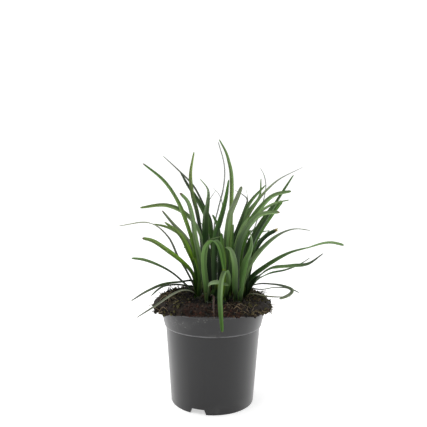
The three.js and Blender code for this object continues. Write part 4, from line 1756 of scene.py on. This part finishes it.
    def splinter(self, draft: Draft, at: Vector, heading: Vector, length: float, rng: random.Random) -> None:
        """Adds one splinter: a flat four-sided sliver with a slanted end.

        Args:
            draft: The piece that it belongs to.
            at: Its middle.
            heading: The way it points.
            length: Its length.
            rng: The draws.
        """
        side = heading.orthogonal().normalized()
        side.rotate(Matrix.Rotation(rng.uniform(0, 6.28), 3, heading))
        other = heading.cross(side)
        wide, thin = rng.uniform(*self.chip_width) * MM, rng.uniform(*self.chip_thickness) * MM
        points = []
        for share, scale in self.chip_outline:
            for a, b in ((-1, -1), (1, -1), (1, 1), (-1, 1)):
                slant = heading * (self.chip_slant * length * a * scale)
                middle = at + heading * length * share + slant
                points.append(middle + side * a * wide * scale / 2 + other * b * thin * scale / 2)
        tint = self.tone_at(at.x, at.y, rng) * rng.choice((0.8, 1.3, 2.2))
        draft.add(np.array(points), grid_faces(len(self.chip_outline), 4, capped=True), tint=tint)

    def fibre_piece(self, finish: bpy.types.Material) -> bpy.types.Object:
        """Lays curly root and coir fibres on the soil, with a few that hang over the rim.

        Args:
            finish: Their material.

        Returns:
            All the fibres as one piece.
        """
        rng = random.Random(45)
        draft = Draft()
        for tuft in self.tufts:
            for _ in range(round(self.fibres * tuft.share)):
                x, y = (rng.gauss(middle, spread) * MM for middle, spread in zip(tuft.middle, tuft.spread))
                if math.hypot(x, y) > self.fringe_root + 1 * MM:
                    at = self.fringe_point(math.atan2(y, x), rng.uniform(0, 0.8))
                else:
                    at = self.surface_point(x, y)
                tone = rng.choice(tuft.tones).shade() * rng.uniform(0.7, 1.25)
                length, thick = rng.uniform(*self.fibre_length) * MM, rng.uniform(*self.fibre_thickness) * MM
                self.fibre(draft, at, length, thick, tone, rng)
        for _ in range(self.hairs):
            bearing = rng.uniform(*self.hair_bearings)
            self.hair(draft, self.fringe_point(bearing, rng.uniform(0.2, 0.9)), bearing, rng)
        return self.litter(draft.piece("root_fibres", finish))

    def fibre(
        self, draft: Draft, at: Vector, length: float, thick: float, tone: np.ndarray, rng: random.Random
    ) -> None:
        """Adds one curly fibre that arches off the soil and back.

        Args:
            draft: The piece that it belongs to.
            at: Its foot.
            length: Its length.
            thick: Its thickness.
            tone: Its shade.
            rng: The draws.
        """
        steps = self.fibre_steps
        heading = rng.uniform(0, 2 * math.pi)
        curl = rng.uniform(-1.6, 1.6)
        rise = rng.uniform(0.05, 0.42) * length
        knots = []
        x, y = at.x, at.y
        for step in range(steps + 1):
            arch = rise * math.sin(math.pi * step / steps)
            knots.append((x, y, at.z + 0.3 * MM + arch + rng.gauss(0, 0.25) * MM))
            heading += curl / steps + rng.gauss(0, 0.25)
            x += math.cos(heading) * length / steps
            y += math.sin(heading) * length / steps
        self.tube(draft, curve_through(knots, 3), thick, tone)

    def hair(self, draft: Draft, at: Vector, bearing: float, rng: random.Random) -> None:
        """Adds one fine hair that hangs out of the fringe.

        Args:
            draft: The piece that it belongs to.
            at: Its root.
            bearing: The direction that it hangs out in.
            rng: The draws.
        """
        out = Vector((math.cos(bearing), math.sin(bearing), 0))
        reach, drop = rng.uniform(1, 6) * MM, Vector((0, 0, rng.uniform(3, 10) * MM))
        bend = Vector((rng.gauss(0, 1), rng.gauss(0, 1), 0)) * MM
        knots = [at, at + out * reach * 0.6 + bend * 0.4 - drop * 0.25, at + out * reach + bend - drop]
        tone = SoilTone.STRAW.shade() * rng.uniform(0.5, 1.0)
        self.tube(draft, curve_through(knots, 5), rng.uniform(*self.hair_thickness) * MM, tone)

    @staticmethod
    def tube(draft: Draft, curve: np.ndarray, thick: float, tone: np.ndarray) -> None:
        """Adds a thin four-sided tube along a curve, finest at both ends.

        Args:
            draft: The piece that it belongs to.
            curve: The points that it follows.
            thick: Its full thickness.
            tone: Its shade.
        """
        headings = np.gradient(curve, axis=0)
        headings /= np.linalg.norm(headings, axis=1)[:, None]
        side = np.cross(headings, np.array([0.13, 0.31, 0.94]))
        side /= np.linalg.norm(side, axis=1)[:, None]
        other = np.cross(headings, side)
        half = thick / 2 * np.sin(np.linspace(0.35, math.pi - 0.35, len(curve)))[:, None]
        side, other = side * half, other * half
        rings = np.stack([curve + side, curve + other, curve - side, curve - other], 1)
        draft.add(rings.reshape(-1, 3), grid_faces(len(curve), 4, capped=True), tint=tone)

    @staticmethod
    def litter(piece: bpy.types.Object) -> bpy.types.Object:
        """Attaches a piece of loose litter on the soil to the root body.

        Args:
            piece: The piece.

        Returns:
            The same piece.
        """
        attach(piece, BODY)
        return piece


# ---- Studio ----


@dataclass(frozen=True)
class Lamp:
    """One soft square lamp: its name, place, power in watts and side.

    One that doesn't light what stands round it shows only as a reflection.
    """

    name: str
    place: Point
    power: float
    side: float
    lights: bool

    def hang(self, aim: Point) -> None:
        """Hangs the lamp.

        Args:
            aim: The place that it points at.
        """
        data = bpy.data.lights.new(self.name, "AREA")
        data.energy = self.power
        data.size = self.side
        made = bpy.data.objects.new(self.name, data)
        made.location = self.place
        made.visible_diffuse = self.lights
        made.visible_camera = False
        made.rotation_euler = (Vector(aim) - Vector(self.place)).to_track_quat("-Z", "Y").to_euler()
        bpy.context.scene.collection.objects.link(made)


@dataclass
class Studio:
    """The white floor, the soft light round it, and the camera a little above the leaves' middle."""

    camera_at: Point = (-0.0006, -0.557, 0.247)
    pitch: float = 3.8
    roll: float = 0.57
    focal_pixels: float = 500
    frame_pixels: float = 427
    sensor: float = 36
    floor_size: float = 60
    air_seen: float = 1.1
    air_front: float = 0.13
    air_back: float = 1.20
    air_blend: Range = (-0.6, 0.5)
    aim: Point = (0, 0, 0.14)
    lamps: Sequence[Lamp] = (
        Lamp("key_light", (-0.55, -0.45, 1.25), 7.6, 0.9, True),
        Lamp("left_reflector", (-1.1, 0.30, 0.30), 15.0, 1.2, False),
        Lamp("right_reflector", (1.1, 0.25, 0.30), 22.0, 1.2, False),
    )

    def build(self) -> None:
        """Sets up the floor, the light and the camera."""
        self.floor()
        self.light()
        self.camera()

    def floor(self) -> None:
        """Lays the plain pale floor."""
        half = self.floor_size / 2
        draft = Draft()
        corners = np.array([(-half, -half, 0), (half, -half, 0), (half, half, 0), (-half, half, 0)])
        draft.add(corners, [(0, 1, 2, 3)])
        floor = draft.piece("studio_floor", StudioWhite().material(), smooth=False)

    def light(self) -> None:
        """Fills the air with soft white light, brightest behind, and hangs the lamps."""
        air = Shader("studio_air", world=True)
        place = air.node("ShaderNodeTexCoord", output="Generated")
        depth = air.node("ShaderNodeSeparateXYZ", None, {0: place}, output="Y")
        graded = lerp(self.air_front, self.air_back, depth.step(*self.air_blend))
        seen = air.node("ShaderNodeLightPath", output="Is Camera Ray")
        strength = lerp(graded, self.air_seen, seen)
        glow = air.node("ShaderNodeBackground", None, {"Color": (1, 1, 1, 1), "Strength": strength})
        air.node("ShaderNodeOutputWorld", None, {"Surface": glow})
        bpy.context.scene.world = air.material
        bpy.context.scene.view_settings.view_transform = "Standard"
        for lamp in self.lamps:
            lamp.hang(self.aim)

    def camera(self) -> None:
        """Sets up the camera, with its small tilt and roll."""
        data = bpy.data.cameras.new("camera")
        data.sensor_width = self.sensor
        data.lens = self.focal_pixels / self.frame_pixels * self.sensor
        made = bpy.data.objects.new("camera", data)
        tilt = Matrix.Rotation(math.radians(90 - self.pitch), 4, "X")
        lean = Matrix.Rotation(math.radians(self.roll), 4, "Z")
        made.matrix_world = Matrix.Translation(self.camera_at) @ tilt @ lean
        bpy.context.scene.collection.objects.link(made)
        bpy.context.scene.camera = made


def report(piece: bpy.types.Object) -> None:
    """Logs a piece's name and its number of faces."""
    log.info("%s: %d faces", piece.name, len(piece.data.polygons))


def main() -> None:
    """Builds the pot, the soil, the shoots and the studio, in that order."""
    logging.basicConfig(level=logging.INFO, format="%(name)s %(message)s")
    pot = Pot.from_frame()
    report(pot.build(PotPlastic().material(pot)))

    soil = Soil(pot)
    bed = SoilFinish().material()
    loose = SoilFinish("loose_soil", fine_scale=1300, relief=0.15 * MM).material()
    report(soil.body(bed))
    report(soil.crumb_piece(loose))
    report(soil.chip_piece(loose))
    report(soil.fibre_piece(loose))

    blade = BladeShape()
    green = LeafFinish().material()
    for index, shoot in enumerate(SHOOTS):
        report(shoot.build(blade, soil.level, green, NUMBERS_PER_SHOOT * index))

    Studio().build()


if __name__ == "__main__":
    main()
